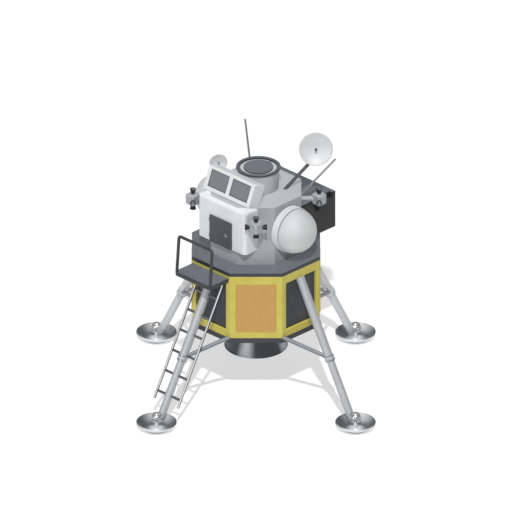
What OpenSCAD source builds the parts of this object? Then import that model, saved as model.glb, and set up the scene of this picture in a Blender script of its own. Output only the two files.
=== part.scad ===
// Two-stage crewed lunar lander, standing on its four legs.
// Millimetres. +Z is up, -Y is the front with the hatch and ladder, +X is the vehicle's left.
// The origin is on the ground, under the centre of the vehicle.

/* [Descent stage] */
// Centre to the flat side faces of the descent stage
body_apothem = 1850; // [1650:10:2100]
// Ground to the underside of the base plate
base_z = 2270; // [2150:10:2400]
// Thickness of the base plate
base_thick = 160; // [100:10:200]
// Height of the yellow frame
frame_h = 1995; // [1700:5:2300]
// Radial thickness of the frame
frame_wall = 130; // [90:10:180]
// Width of the frame's upright borders on the foil faces
foil_border = 181; // [120:1:220]
// Width of the frame's upright borders on the leg faces
bay_border = 150; // [120:1:220]
// Height of the frame's top border
top_border = 268; // [180:1:300]
// Height of the frame's bottom border
bottom_border = 204; // [160:1:260]
// How far the leg bay panels are set back
bay_recess = 70; // [30:5:90]
// Thickness of the leg bay panels
bay_thick = 60; // [30:5:60]
// How far the foil panels stand proud
foil_proud = 22; // [5:1:40]
// Thickness of the deck between the stages
deck_thick = 125; // [90:5:180]
// How far the deck overhangs the frame
deck_overhang = 10; // [5:5:60]

/* [Landing gear] */
// Centre of the vehicle to the centre of a footpad
pad_reach = 4080; // [3800:10:4500]
// Radius of a footpad's rim
pad_r = 590; // [450:10:650]
// Radius of a footpad's flat underside
pad_flat_r = 300; // [200:10:350]
// Height of a footpad's rim
pad_h = 260; // [180:5:300]
// Wall of a footpad
pad_wall = 25; // [15:1:35]
// Radius of the ball on a footpad
ball_r = 175; // [120:5:190]
// Height of the ball's centre
ball_z = 400; // [380:5:460]
// Lean of the legs from the vertical
leg_lean = 28.9; // [25:0.1:32]
// Radius of a leg's outer cylinder
strut_r = 130; // [100:5:160]
// Radius of a leg's inner piston
piston_r = 115; // [80:5:125]
// Radius of the collar at a cylinder's lower end
collar_r = 150; // [135:5:200]
// Length of that collar
collar_len = 160; // [120:10:320]
// Radius of the side braces
brace_r = 60; // [30:2:70]

/* [Ladder and platform] */
// Half the distance between the ladder's rails
ladder_half_w = 480; // [400:5:520]
// Radius of a rail
rail_r = 40; // [25:1:60]
// Radius of a rung
rung_r = 40; // [20:1:45]
// Distance between rungs along the rails
rung_pitch = 630; // [450:5:700]
// Number of rungs
rung_count = 6; // [4:1:6]
// Height of the rails' lower ends
ladder_foot_z = 700; // [650:1:900]
// Width of the platform
platform_w = 1450; // [1100:10:1500]
// Length of the platform, out from the body
platform_len = 760; // [600:10:850]
// Thickness of the platform
platform_thick = 130; // [60:5:140]
// Height of the handrail above the platform
handrail_h = 1160; // [850:10:1250]
// Radius of the handrail's tube
handrail_r = 46; // [20:1:60]
// Inward lean of the handrail
handrail_lean = 4.5; // [0:0.5:5]

/* [Ascent stage] */
// Centre to the flat side faces of the midsection
mid_apothem = 1310; // [1250:10:1400]
// Height of the midsection
mid_h = 1845; // [1700:5:2000]
// Wall of the midsection and cabin
hull_wall = 60; // [40:5:80]
// Half the width of the crew cabin
cabin_half_w = 965; // [880:5:1050]
// How far the cabin's front stands out from the vehicle's centre
cabin_front = 1420; // [1380:10:1500]
// Height of the cabin's floor above the deck
cabin_lift = 480; // [400:10:560]
// Radius of the cabin's edges
cabin_edge_r = 110; // [60:5:150]
// Half the width of the window housing
housing_half_w = 935; // [860:5:940]
// Length of the window housing's front face
housing_face = 721; // [650:1:800]
// Depth of the window housing
housing_depth = 430; // [340:5:440]
// Backward lean of the window housing
housing_lean = 22.4; // [15:0.1:28]
// Gap under the window housing's front edge
housing_gap = 101; // [60:1:130]
// Width of a window
window_w = 730; // [600:1:740]
// Height of a window along the sloping face
window_h = 520; // [400:1:560]
// Space between the windows
window_gap = 142; // [120:1:200]
// Thickness of the window glass
glass_thick = 20; // [10:1:30]

/* [Hatches] */
// Half the width of the front hatch
hatch_half_w = 440; // [380:5:460]
// Height of the front hatch
hatch_h = 855; // [750:5:900]
// Thickness of the hatch's outer slab
hatch_thick = 50; // [30:1:60]
// Gap between the closed hatch and the cabin's wall
hatch_gap = 5; // [3:1:8]
// Radius of the docking tunnel
tunnel_r = 590; // [540:5:620]
// Height of the docking tunnel above the roof
tunnel_h = 605; // [500:5:680]
// Wall of the docking tunnel
tunnel_wall = 60; // [40:5:80]
// Place of the tunnel's axis behind the vehicle's centre
tunnel_y = 100; // [80:5:130]
// Outer radius of the docking ring
ring_r = 650; // [630:5:670]
// Thickness of the docking ring
ring_thick = 60; // [40:5:80]
// Radius of the docking lid
lid_r = 435; // [380:5:440]
// Thickness of the docking lid
lid_thick = 40; // [30:1:50]

/* [Tanks and bay] */
// Radius of a side tank's drum
tank_r = 690; // [620:5:740]
// Length of that drum
tank_drum = 225; // [200:5:320]
// Radius of a side tank's dome
dome_r = 662; // [600:1:690]
// Height of the tanks' centres above the deck
tank_lift = 1005; // [980:5:1080]
// Half the width of the equipment bay
bay_half_w = 1220; // [1150:10:1240]
// How far back the equipment bay reaches
bay_back = 2100; // [1900:10:2200]
// Height of the equipment bay's underside above the deck
bay_lift = 240; // [150:10:350]
// Height of the equipment bay
bay_h = 1210; // [1000:10:1250]
// Radius of the equipment bay's edges
bay_edge_r = 110; // [60:5:150]

/* [Thruster quads] */
// Centre of the vehicle to the centre of a thruster quad
quad_reach = 1830; // [1780:10:1900]
// Height of the quads above the deck
quad_lift = 1480; // [1470:10:1560]
// Side of a quad's block
quad_side = 330; // [240:5:340]
// Radius of a quad's arm
quad_arm_r = 80; // [50:5:90]
// Centre of a quad to the mouth of a nozzle
nozzle_reach = 325; // [290:5:350]
// Outer radius of a nozzle's mouth
nozzle_mouth_r = 92; // [70:2:100]
// Outer radius of a nozzle's root
nozzle_root_r = 52; // [40:2:60]

/* [Engine] */
// Outer radius of the engine bell's mouth
bell_mouth_r = 920; // [800:10:940]
// Height of the engine bell's mouth above the ground
bell_mouth_z = 1290; // [1200:10:1400]
// Wall of the engine bell
bell_wall = 25; // [15:1:40]
// Radius of the engine's chamber
chamber_r = 250; // [200:10:270]
// Height of the chamber
chamber_h = 700; // [600:10:800]
// Height of the gimbal pivots above the base plate
pivot_lift = 430; // [400:10:460]

/* [Antennas] */
// Radius of the large dish
dish_r = 493; // [430:1:510]
// Depth of the large dish
dish_depth = 110; // [80:1:140]
// Radius of the small dish
radar_r = 268; // [220:1:290]
// Depth of the small dish
radar_depth = 60; // [40:1:90]
// Radius of the dish mast
mast_r = 50; // [30:1:60]
// Radius of the whip antennas
whip_r = 30; // [15:1:35]
// Length of the left whip antenna
left_whip_len = 1640; // [1200:10:1700]
// Length of the right whip antenna
right_whip_len = 1520; // [1200:10:1700]

/* [Hidden] */
// Order of the legs: each is built pointing along +X and turned into place
LEG_NAMES = ["left", "rear", "right", "front"];
// Order of the diagonal faces: each is built on +X and turned by an odd 45 degrees
CORNER_NAMES = ["rear_left", "rear_right", "front_right", "front_left"];
HALF_STEP = 22.5;
QUARTER = 90;
DIAGONAL = 45;

// Clearances
seat_gap = 0.3;
pin_gap = 0.05;
face_gap = 0.05;
run_gap = 10;
eps = 1;

// Levels
frame_z = base_z + base_thick;
deck_z = frame_z + frame_h;
mid_z = deck_z + deck_thick;
roof_z = mid_z + mid_h;
cabin_z = mid_z + cabin_lift;
bay_z = frame_z + bottom_border;
bay_top_z = deck_z - top_border;
panel_h = frame_h - top_border - bottom_border;
quad_z = mid_z + quad_lift;
far = 10000;

// A regular octagon's side for an apothem
function side_of(apothem) = 2 * apothem * tan(HALF_STEP);
function corner_r(apothem) = apothem / cos(HALF_STEP);

foil_w = side_of(body_apothem) - 2 * foil_border;
bay_w = side_of(body_apothem) - 2 * bay_border;
bay_face = body_apothem - bay_recess;

// Legs: the axis passes through the collar point, which follows the pad
foot_inset = 184;
leg_foot_x = pad_reach - foot_inset;
leg_foot_z = 328;
collar_rise = 1598;
// Tubes are drawn this long and then trimmed where they meet the body
leg_run = 4500;
leg_top_z = bay_top_z;
collar_z = leg_foot_z + collar_rise;
collar_x = leg_foot_x - (collar_z - leg_foot_z) * tan(leg_lean);
collar_s = (collar_z - leg_foot_z) / cos(leg_lean);
piston_extra = 60;
brace_root_x = body_apothem - 14;
brace_root_y = 735;
brace_root_z = frame_z + 10;
pad_sphere_z = (pad_r * pad_r + pad_h * pad_h - pad_flat_r * pad_flat_r) / (2 * pad_h);
pad_sphere_r = sqrt(pad_flat_r * pad_flat_r + pad_sphere_z * pad_sphere_z);
neck_r = 75;

// Ladder and platform
platform_drop = 75;
platform_z = deck_z - platform_drop;
platform_corner_r = 55;
post_inset = handrail_r;
handrail_half_w = platform_w / 2 - post_inset;
handrail_y = platform_len - post_inset;
elbow_r = 90;
ladder_s = (ladder_foot_z - leg_foot_z) / cos(leg_lean);
rung_start = 245;

// Hatch
hatch_z = cabin_z;
door_lap = 40;
door_half_w = hatch_half_w - door_lap;
door_z = cabin_z + hull_wall;
door_h = hatch_h - hull_wall - door_lap;
hinge_x = -(hatch_half_w + 20);
hinge_y = -(cabin_front + hatch_gap + hatch_thick / 2);
hinge_lug_r = 14;
hinge_pin_r = 7;
hinge_lug_h = 50;
hinge_levels = [150, 640];
handle_x = 250;
handle_lift = 430;

// Window housing, in the Y-Z plane with the front towards -Y
face_dir = [sin(housing_lean), cos(housing_lean)];
back_dir = [cos(housing_lean), -sin(housing_lean)];
housing_setback = 188;
housing_foot_z = roof_z + face_gap;
housing_front = [-(cabin_front - housing_setback), roof_z + housing_gap];
housing_top = housing_front + housing_face * face_dir;
housing_rear = housing_top + housing_depth * back_dir;
housing_wall = 50;
housing_edge_r = 45;
sole_wall = housing_wall - 5;
rear_foot_s = (housing_rear[1] - housing_foot_z) / cos(housing_lean);
rear_foot = housing_rear - rear_foot_s * face_dir;
sole_s = (housing_front[1] - housing_foot_z) / sin(housing_lean);
sole_foot = housing_front + sole_s * back_dir;
window_x = (window_w + window_gap) / 2;
window_mid = housing_face / 2 + 5;
glass_inset = 8;
way_margin = 25;

// Docking parts
seat_thick = 40;
seat_z = roof_z + tunnel_h - seat_thick;
seat_bore_r = lid_r - 75;
lid_gap = 5;
lid_axis_y = tunnel_y + lid_r + 35;
lid_axis_z = seat_z + seat_thick + lid_gap + lid_thick / 2;
lid_lug_r = 20;
lid_pin_r = 9;
lid_lug_w = 100;
lid_ear_w = 30;

// Tanks
tank_neck = 30;
tank_neck_r = 650;
tank_z = mid_z + tank_lift;
dome_x = mid_apothem + tank_drum + tank_neck;

// Quads
quad_face = quad_side / 2;
quad_chamfer = 35;
nozzle_root = quad_face - 45;
relief = 25;

// Engine
pivot_z = frame_z + pivot_lift;
bell_top_z = pivot_z - 130;
throat_r = chamber_r - 40;
// The hole in the base plate, which the bell's throat passes through
base_hole_r = 690;
ring_in = chamber_r + 60;
ring_out = ring_in + 60;
ring_half_h = 50;
trunnion_r = 30;
post_in = base_hole_r + 15;
post_out = post_in + 100;
post_half_w = 80;

// Dish mounts: where each dish turns, which way it faces, and how large its fork is
dish_pivot = [1160, 1301, 7620];
dish_aim = -45;
dish_tip = 20;
dish_hub = 140;
dish_fork = 150;
mast_foot = [610, 465];
mast_top_drop = 150;
mast_knee_r = mast_r + 24;
radar_pivot = [-1218, -358, 6957];
radar_aim = -36;
radar_tip = 4;
radar_hub = 90;
radar_fork = 100;
radar_drop = 110;
radar_post_r = 45;
dish_wall = 14;
left_whip_foot = [-923, 718];
left_whip_lean = 6;
whip_boss_h = 40;
right_whip_z = roof_z - 230;
right_whip_lean = 40.8;

// ---------- shared shapes ----------

// An upright octagonal block with flat faces on the X and Y axes
module octagon(apothem, height, z = 0) {
    translate([0, 0, z])
        rotate([0, 0, HALF_STEP])
            cylinder(h = height, r = corner_r(apothem), $fn = 8);
}

// A block that is centred on Y and starts at x
module side_block(x, depth, width, z, height) {
    translate([x, -width / 2, z])
        cube([depth, width, height]);
}

// A rectangle from corner a to corner b with the two corners at low y rounded
module front_rounded(a, b, r) {
    translate([a[0], a[1] + r])
        square([b[0] - a[0], b[1] - a[1] - r]);
    translate([a[0] + r, a[1]])
        square([b[0] - a[0] - 2 * r, b[1] - a[1]]);
    translate([a[0] + r, a[1] + r])
        circle(r = r);
    translate([b[0] - r, a[1] + r])
        circle(r = r);
}

// The same with the two corners at high y rounded instead
module top_rounded(a, b, r) {
    translate([a[0] + b[0], a[1] + b[1]])
        rotate([0, 0, 180])
            front_rounded(a, b, r);
}

// The same with all four corners rounded
module all_rounded(a, b, r) {
    translate([a[0], a[1] + r])
        square([b[0] - a[0], b[1] - a[1] - 2 * r]);
    translate([a[0] + r, a[1]])
        square([b[0] - a[0] - 2 * r, b[1] - a[1]]);
    for (x = [a[0] + r, b[0] - r], y = [a[1] + r, b[1] - r])
        translate([x, y])
            circle(r = r);
}

// Stands a Y-Z outline up and runs it along X, centred
module run_along_x(width) {
    translate([-width / 2, 0, 0])
        rotate([QUARTER, 0, QUARTER])
            linear_extrude(width)
                children();
}

// ---------- descent stage ----------

module descent_frame() {
    color("#cfc461")
        difference() {
            octagon(body_apothem, frame_h - face_gap, frame_z);
            octagon(body_apothem - frame_wall, frame_h + 2 * eps, frame_z - eps);
            for (i = [0:3]) {
                rotate([0, 0, QUARTER * i])
                    side_block(body_apothem - frame_wall - run_gap * 3, frame_wall * 2, bay_w, bay_z, panel_h);
                rotate([0, 0, QUARTER * i + DIAGONAL])
                    side_block(body_apothem - frame_wall - run_gap * 3, frame_wall * 2, foil_w, bay_z, panel_h);
            }
        }
}

module bay_panel() {
    color("#3c3d41")
        side_block(bay_face - bay_thick, bay_thick, bay_w, bay_z, panel_h);
}

module foil_panel() {
    color("#c8a35c")
        side_block(body_apothem - frame_wall, frame_wall + foil_proud, foil_w, bay_z, panel_h);
}

module base_plate() {
    color("#2c2d30")
        difference() {
            octagon(body_apothem, base_thick - face_gap, base_z);
            translate([0, 0, base_z - eps])
                cylinder(h = base_thick + 2 * eps, r = base_hole_r, $fn = 96);
        }
}

module top_deck() {
    color("#757982")
        octagon(body_apothem + deck_overhang, deck_thick, deck_z);
}

// ---------- landing gear ----------

// Puts children on a leg's axis, +Z up the leg, with the origin at its foot
module on_leg() {
    translate([leg_foot_x, 0, leg_foot_z])
        rotate([0, -leg_lean, 0])
            children();
}

// The leg's cylinder and collar, grown by a clearance
module strut_outline(grow = 0) {
    on_leg() {
        translate([0, 0, collar_s - collar_len / 2 - grow])
            cylinder(h = collar_len + 2 * grow, r = collar_r + grow, $fn = 64);
        translate([0, 0, collar_s])
            cylinder(h = leg_run, r = strut_r + grow, $fn = 64);
    }
}

module piston_outline(grow = 0) {
    on_leg()
        translate([0, 0, -piston_extra])
            cylinder(h = collar_s - collar_len / 2 + piston_extra, r = piston_r + grow, $fn = 64);
}

// What lies behind a leg bay's face or above its opening
module bay_surround() {
    translate([bay_face - 2 * body_apothem, -body_apothem, 0])
        cube([2 * body_apothem, 2 * body_apothem, roof_z]);
    translate([0, -body_apothem, leg_top_z])
        cube([pad_reach, 2 * body_apothem, roof_z]);
}

module strut_cylinder() {
    color("#c0c2c5")
        difference() {
            strut_outline();
            bay_surround();
        }
}

module strut_piston() {
    color("#c0c2c5")
        difference() {
            piston_outline();
            translate([pad_reach, 0, ball_z])
                sphere(r = ball_r + seat_gap, $fn = 64);
        }
}

module footpad() {
    color("#9a9b9d")
        translate([pad_reach, 0, 0]) {
            difference() {
                intersection() {
                    translate([0, 0, pad_sphere_z])
                        sphere(r = pad_sphere_r, $fn = 128);
                    cylinder(h = pad_h, r = pad_r + eps, $fn = 128);
                }
                intersection() {
                    translate([0, 0, pad_sphere_z])
                        sphere(r = pad_sphere_r - pad_wall, $fn = 128);
                    translate([0, 0, pad_wall])
                        cylinder(h = pad_h, r = pad_r + eps, $fn = 128);
                }
            }
            translate([0, 0, pad_wall / 2])
                cylinder(h = ball_z - pad_wall / 2, r = neck_r, $fn = 48);
            translate([0, 0, ball_z])
                sphere(r = ball_r, $fn = 64);
        }
}

// A rod between two points
module rod(a, b, r) {
    d = b - a;
    translate(a)
        rotate([0, acos(d[2] / norm(d)), atan2(d[1], d[0])])
            cylinder(h = norm(d), r = r, $fn = 48);
}

module braces() {
    color("#8f9196")
        difference() {
            for (side = [-1, 1])
                rod([collar_x, 0, collar_z],
                    [brace_root_x, side * brace_root_y, brace_root_z], brace_r);
            octagon(body_apothem, base_thick + frame_h, base_z);
            strut_outline(seat_gap);
        }
}

// ---------- ladder and platform ----------

module ladder() {
    color("#6a6c70")
        difference() {
            union() {
                for (side = [-1, 1])
                    on_leg()
                        translate([0, side * ladder_half_w, ladder_s])
                            cylinder(h = leg_run, r = rail_r, $fn = 48);
                for (i = [0:rung_count - 1])
                    on_leg()
                        translate([0, 0, ladder_s + rung_start + i * rung_pitch])
                            rotate([QUARTER, 0, 0])
                                cylinder(h = 2 * ladder_half_w, r = rung_r, center = true, $fn = 32);
            }
            bay_surround();
            strut_outline(seat_gap);
            piston_outline(seat_gap);
        }
}

module platform() {
    color("#757982")
        translate([body_apothem + platform_len, 0, platform_z - platform_thick])
            rotate([0, 0, QUARTER])
                linear_extrude(platform_thick)
                    front_rounded([-platform_w / 2, 0], [platform_w / 2, platform_len - face_gap],
                                  platform_corner_r);
}

// The handrail's frame, drawn upright on its own foot line and then leaned in
module handrail() {
    span = 2 * (handrail_half_w - elbow_r);
    rise = handrail_h - elbow_r - handrail_r;
    color("#3c3f44")
        difference() {
            translate([body_apothem + handrail_y, 0, platform_z])
                rotate([0, -handrail_lean, 0]) {
                    for (side = [-1, 1]) {
                        translate([0, side * handrail_half_w, -handrail_r])
                            cylinder(h = rise + handrail_r, r = handrail_r, $fn = 48);
                        translate([0, side * span / 2, rise])
                            rotate([QUARTER, 0, side * QUARTER])
                                rotate_extrude(angle = QUARTER, $fn = 48)
                                    translate([elbow_r, 0])
                                        circle(r = handrail_r, $fn = 48);
                    }
                    translate([0, 0, rise + elbow_r])
                        rotate([QUARTER, 0, 0])
                            cylinder(h = span, r = handrail_r, center = true, $fn = 48);
                }
            translate([body_apothem, -platform_w, platform_z - platform_thick])
                cube([platform_len * 2, platform_w * 2, platform_thick]);
        }
}

// ---------- engine ----------

module engine_chamber() {
    color("#4a4b4e") {
        translate([0, 0, bell_top_z])
            cylinder(h = chamber_h, r = chamber_r, $fn = 64);
        for (side = [-1, 1])
            translate([0, side * chamber_r * 0.9, pivot_z])
                rotate([-side * QUARTER, 0, 0])
                    cylinder(h = ring_out + 10 - chamber_r * 0.9, r = trunnion_r, $fn = 48);
    }
}

// The bell's wall: an outline of short straight stretches that bends like a real nozzle
module bell_profile(shrink = 0) {
    steps = 10;
    function bell_r(t) = throat_r + (bell_mouth_r - throat_r) * pow(t, 0.72);
    function bell_at(t) = bell_top_z - (bell_top_z - bell_mouth_z) * t;
    polygon(concat(
        [for (i = [0:steps]) [bell_r(i / steps), bell_at(i / steps)]],
        [for (i = [steps:-1:0]) [bell_r(i / steps) - bell_wall, bell_at(i / steps)]]
    ));
}

module engine_bell() {
    color("#3a3b3e")
        rotate_extrude($fn = 128)
            bell_profile();
}

module gimbal_ring() {
    color("#6b6d70")
        translate([0, 0, pivot_z])
            difference() {
                union() {
                    translate([0, 0, -ring_half_h])
                        difference() {
                            cylinder(h = 2 * ring_half_h, r = ring_out, $fn = 64);
                            translate([0, 0, -eps])
                                cylinder(h = 2 * ring_half_h + 2 * eps, r = ring_in, $fn = 64);
                        }
                    for (side = [-1, 1])
                        rotate([0, side * QUARTER, 0])
                            translate([0, 0, ring_in + 20])
                                cylinder(h = post_out - ring_in - 20, r = trunnion_r, $fn = 48);
                }
                rotate([QUARTER, 0, 0])
                    cylinder(h = 3 * ring_out, r = trunnion_r + pin_gap, center = true, $fn = 48);
            }
}

module gimbal_posts() {
    color("#55575b")
        for (side = [-1, 1])
            difference() {
                translate([side > 0 ? post_in : -post_out, -post_half_w, frame_z])
                    cube([post_out - post_in, 2 * post_half_w, pivot_lift + post_half_w]);
                translate([0, 0, pivot_z])
                    rotate([0, QUARTER, 0])
                        cylinder(h = 4 * post_out, r = trunnion_r + pin_gap, center = true, $fn = 48);
            }
}

// ---------- ascent stage ----------

// The crew cabin's outside, run back to the middle of the midsection
module cabin_outside() {
    intersection() {
        translate([0, 0, cabin_z])
            linear_extrude(roof_z - cabin_z)
                front_rounded([-cabin_half_w, -cabin_front], [cabin_half_w, 0], cabin_edge_r);
        run_along_x(2 * cabin_half_w)
            top_rounded([-cabin_front, cabin_z], [cabin_front, roof_z], cabin_edge_r);
        rotate([QUARTER, 0, 0])
            linear_extrude(cabin_front)
                top_rounded([-cabin_half_w, cabin_z], [cabin_half_w, roof_z], cabin_edge_r);
    }
}

module cabin_inside(side_margin = 0) {
    w = cabin_half_w - hull_wall - side_margin;
    translate([-w, -cabin_front + hull_wall, cabin_z + hull_wall])
        cube([2 * w, cabin_front - hull_wall, roof_z - cabin_z - 2 * hull_wall]);
}

// The clear way from the window housing down through the roof
module housing_way() {
    way_half_w = housing_half_w - housing_wall - 65;
    translate([-way_half_w, sole_foot[0] + way_margin, roof_z - hull_wall - eps])
        cube([2 * way_half_w, rear_foot[0] - sole_foot[0] - 2 * way_margin, hull_wall + 2 * eps]);
}

module crew_cabin() {
    color("#d9dadc")
        difference() {
            cabin_outside();
            octagon(mid_apothem, mid_h + 2 * eps, mid_z - eps);
            cabin_inside();
            translate([-door_half_w, -cabin_front - eps, door_z])
                cube([2 * door_half_w, hull_wall + 2 * eps, door_h]);
            housing_way();
        }
}

module midsection() {
    color("#afb1b5")
        difference() {
            octagon(mid_apothem, mid_h - face_gap, mid_z + face_gap);
            octagon(mid_apothem - hull_wall, mid_h - 2 * hull_wall, mid_z + hull_wall);
            cabin_inside();
            housing_way();
            translate([0, tunnel_y, roof_z - hull_wall - eps])
                cylinder(h = hull_wall + 2 * eps, r = tunnel_r - tunnel_wall, $fn = 96);
        }
}

// Puts children on the sloping face: X across, Y up the slope, Z out of the face
module on_slope(depth = 0) {
    translate([0, housing_front[0], housing_front[1]])
        rotate([QUARTER - housing_lean, 0, 0])
            translate([0, 0, -depth])
                children();
}

module window_housing() {
    color("#e4e6e8")
        difference() {
            intersection() {
                run_along_x(2 * housing_half_w)
                    polygon([housing_front, housing_top, housing_rear, rear_foot, sole_foot]);
                on_slope(housing_depth)
                    linear_extrude(housing_depth)
                        all_rounded([-housing_half_w, -housing_edge_r], [housing_half_w, housing_face],
                                    housing_edge_r);
                translate([0, 0, housing_foot_z])
                    linear_extrude(housing_face * 2)
                        all_rounded([-housing_half_w, -cabin_front], [housing_half_w, 0], housing_edge_r);
            }
            difference() {
                on_slope(housing_depth - housing_wall)
                    translate([-housing_half_w + housing_wall, -housing_face, 0])
                        cube([2 * (housing_half_w - housing_wall), 2 * housing_face - housing_wall,
                              housing_depth - 2 * housing_wall]);
                run_along_x(3 * housing_half_w)
                    polygon([housing_front, housing_front - sole_wall * back_dir,
                             sole_foot - [0, 2 * housing_gap], sole_foot + [0, eps],
                             sole_foot + housing_wall * face_dir, housing_front + housing_wall * face_dir]);
            }
            for (side = [-1, 1])
                on_slope(housing_wall + eps)
                    translate([side * window_x - window_w / 2, window_mid - window_h / 2, 0])
                        cube([window_w, window_h, housing_wall + 2 * eps]);
        }
}

module windows() {
    color("#86888e")
        on_slope(glass_inset + glass_thick)
            for (side = [-1, 1])
                translate([side * window_x - window_w / 2, window_mid - window_h / 2, 0])
                    cube([window_w, window_h, glass_thick]);
}

// ---------- front hatch ----------

module hatch_hinges() {
    color("#4e525b")
        for (level = hinge_levels) {
            translate([hinge_x - hinge_lug_r, hinge_y, hatch_z + level])
                cube([2 * hinge_lug_r, -cabin_front - hinge_y, hinge_lug_h]);
            translate([hinge_x, hinge_y, hatch_z + level])
                cylinder(h = hinge_lug_h, r = hinge_lug_r, $fn = 32);
            translate([hinge_x, hinge_y, hatch_z + level + hinge_lug_h - eps])
                cylinder(h = hinge_lug_h + eps, r = hinge_pin_r, $fn = 32);
        }
}

module front_hatch() {
    color("#4e525b") {
        difference() {
            union() {
                translate([-hatch_half_w, -cabin_front - hatch_gap - hatch_thick, hatch_z])
                    cube([2 * hatch_half_w, hatch_thick, hatch_h]);
                for (level = hinge_levels)
                    translate([hinge_x, hinge_y, hatch_z + level + hinge_lug_h + seat_gap]) {
                        cylinder(h = hinge_lug_h, r = hinge_lug_r, $fn = 32);
                        translate([0, -hinge_lug_r, 0])
                            cube([-hatch_half_w - hinge_x + 10, 2 * hinge_lug_r, hinge_lug_h]);
                    }
            }
            for (level = hinge_levels)
                translate([hinge_x, hinge_y, hatch_z + level])
                    cylinder(h = 4 * hinge_lug_h, r = hinge_pin_r + pin_gap, $fn = 32);
        }
        translate([-door_half_w + run_gap, -cabin_front - hatch_gap - eps, door_z + run_gap])
            cube([2 * (door_half_w - run_gap), hull_wall + hatch_gap + eps, door_h - 2 * run_gap]);
    }
}

module hatch_handle() {
    color("#9c9ea3")
        translate([handle_x, -cabin_front - hatch_gap - hatch_thick, hatch_z + handle_lift])
            rotate([QUARTER, 0, 0]) {
                cylinder(h = 12, r = 62, $fn = 48);
                cylinder(h = 45, r = 22, $fn = 32);
                translate([-58, -14, 30])
                    cube([116, 28, 18]);
            }
}

// ---------- docking port ----------

module docking_tunnel() {
    color("#d9dadc")
        translate([0, tunnel_y, roof_z + face_gap])
            difference() {
                cylinder(h = tunnel_h - face_gap, r = tunnel_r, $fn = 96);
                translate([0, 0, -eps])
                    cylinder(h = tunnel_h + 2 * eps, r = tunnel_r - tunnel_wall, $fn = 96);
            }
}

module docking_ring() {
    color("#5d6067")
        translate([0, tunnel_y, roof_z + tunnel_h])
            difference() {
                cylinder(h = ring_thick, r = ring_r, $fn = 96);
                translate([0, 0, -eps])
                    cylinder(h = ring_thick + 2 * eps, r = tunnel_r - tunnel_wall + 10, $fn = 96);
            }
}

module docking_seat() {
    color("#d4d6d9") {
        translate([0, tunnel_y, seat_z])
            difference() {
                cylinder(h = seat_thick, r = tunnel_r - tunnel_wall - seat_gap, $fn = 96);
                translate([0, 0, -eps])
                    cylinder(h = seat_thick + 2 * eps, r = seat_bore_r, $fn = 96);
            }
        for (side = [-1, 1])
            translate([side * (lid_lug_w / 2 + seat_gap + lid_ear_w / 2), lid_axis_y, seat_z + seat_thick - eps])
                translate([-lid_ear_w / 2, -lid_lug_r, 0])
                    cube([lid_ear_w, 2 * lid_lug_r, lid_axis_z - seat_z - seat_thick + lid_lug_r + eps]);
        translate([0, lid_axis_y, lid_axis_z])
            rotate([0, QUARTER, 0])
                cylinder(h = lid_lug_w + 2 * lid_ear_w, r = lid_pin_r, center = true, $fn = 32);
    }
}

module docking_lid() {
    color("#757982")
        difference() {
            union() {
                translate([0, tunnel_y, lid_axis_z - lid_thick / 2])
                    cylinder(h = lid_thick, r = lid_r, $fn = 96);
                translate([-lid_lug_w / 2, tunnel_y + lid_r - 40, lid_axis_z - lid_lug_r])
                    cube([lid_lug_w, lid_axis_y - tunnel_y - lid_r + 40, 2 * lid_lug_r]);
                translate([0, lid_axis_y, lid_axis_z])
                    rotate([0, QUARTER, 0])
                        cylinder(h = lid_lug_w, r = lid_lug_r, center = true, $fn = 32);
            }
            translate([0, lid_axis_y, lid_axis_z])
                rotate([0, QUARTER, 0])
                    cylinder(h = 3 * lid_lug_w, r = lid_pin_r + pin_gap, center = true, $fn = 32);
        }
}

// ---------- tanks, bay and thrusters ----------

module side_tank() {
    color("#dcdddf")
        translate([mid_apothem, 0, tank_z])
            rotate([0, QUARTER, 0]) {
                cylinder(h = tank_drum, r = tank_r, $fn = 96);
                translate([0, 0, tank_drum - eps])
                    cylinder(h = tank_neck + 2 * eps, r = tank_neck_r, $fn = 96);
                translate([0, 0, tank_drum + tank_neck])
                    intersection() {
                        sphere(r = dome_r, $fn = 96);
                        cylinder(h = dome_r, r = dome_r + eps, $fn = 96);
                    }
            }
}

// A quad's block, turned so that its own axes lie along the vehicle's X and Y
module quad_block(grow = 0) {
    s = quad_face + grow;
    c = quad_chamfer;
    translate([quad_reach, 0, quad_z])
        rotate([0, 0, DIAGONAL])
            intersection() {
                translate([0, 0, -s])
                    linear_extrude(2 * s)
                        polygon([[s, c - s], [s, s - c], [s - c, s], [c - s, s],
                                 [-s, s - c], [-s, c - s], [c - s, -s], [s - c, -s]]);
                rotate([QUARTER, 0, 0])
                    translate([0, 0, -s])
                        linear_extrude(2 * s)
                            polygon([[s, c - s], [s, s - c], [s - c, s], [c - s, s],
                                     [-s, s - c], [-s, c - s], [c - s, -s], [s - c, -s]]);
            }
}

// A nozzle that widens along +Z, from inside the block to its mouth
module nozzle() {
    translate([0, 0, nozzle_root])
        cylinder(h = nozzle_reach - nozzle_root, r1 = nozzle_root_r, r2 = nozzle_mouth_r, $fn = 48);
}

module thrusters() {
    color("#c4c6c9")
        difference() {
            union() {
                quad_block();
                translate([0, 0, quad_z])
                    rotate([0, QUARTER, 0])
                        cylinder(h = quad_reach, r = quad_arm_r, $fn = 48);
                for (turn = [[0, 0, 0], [180, 0, 0], [QUARTER, 0, 0], [-QUARTER, 0, 0]])
                    translate([quad_reach, 0, quad_z])
                        rotate(turn)
                            nozzle();
            }
            octagon(mid_apothem, mid_h, mid_z);
        }
}

// What the crew cabin takes from the arms of the front quads
module cabin_block() {
    translate([-cabin_half_w, -cabin_front, cabin_z])
        cube([2 * cabin_half_w, cabin_front, mid_h]);
}

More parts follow.
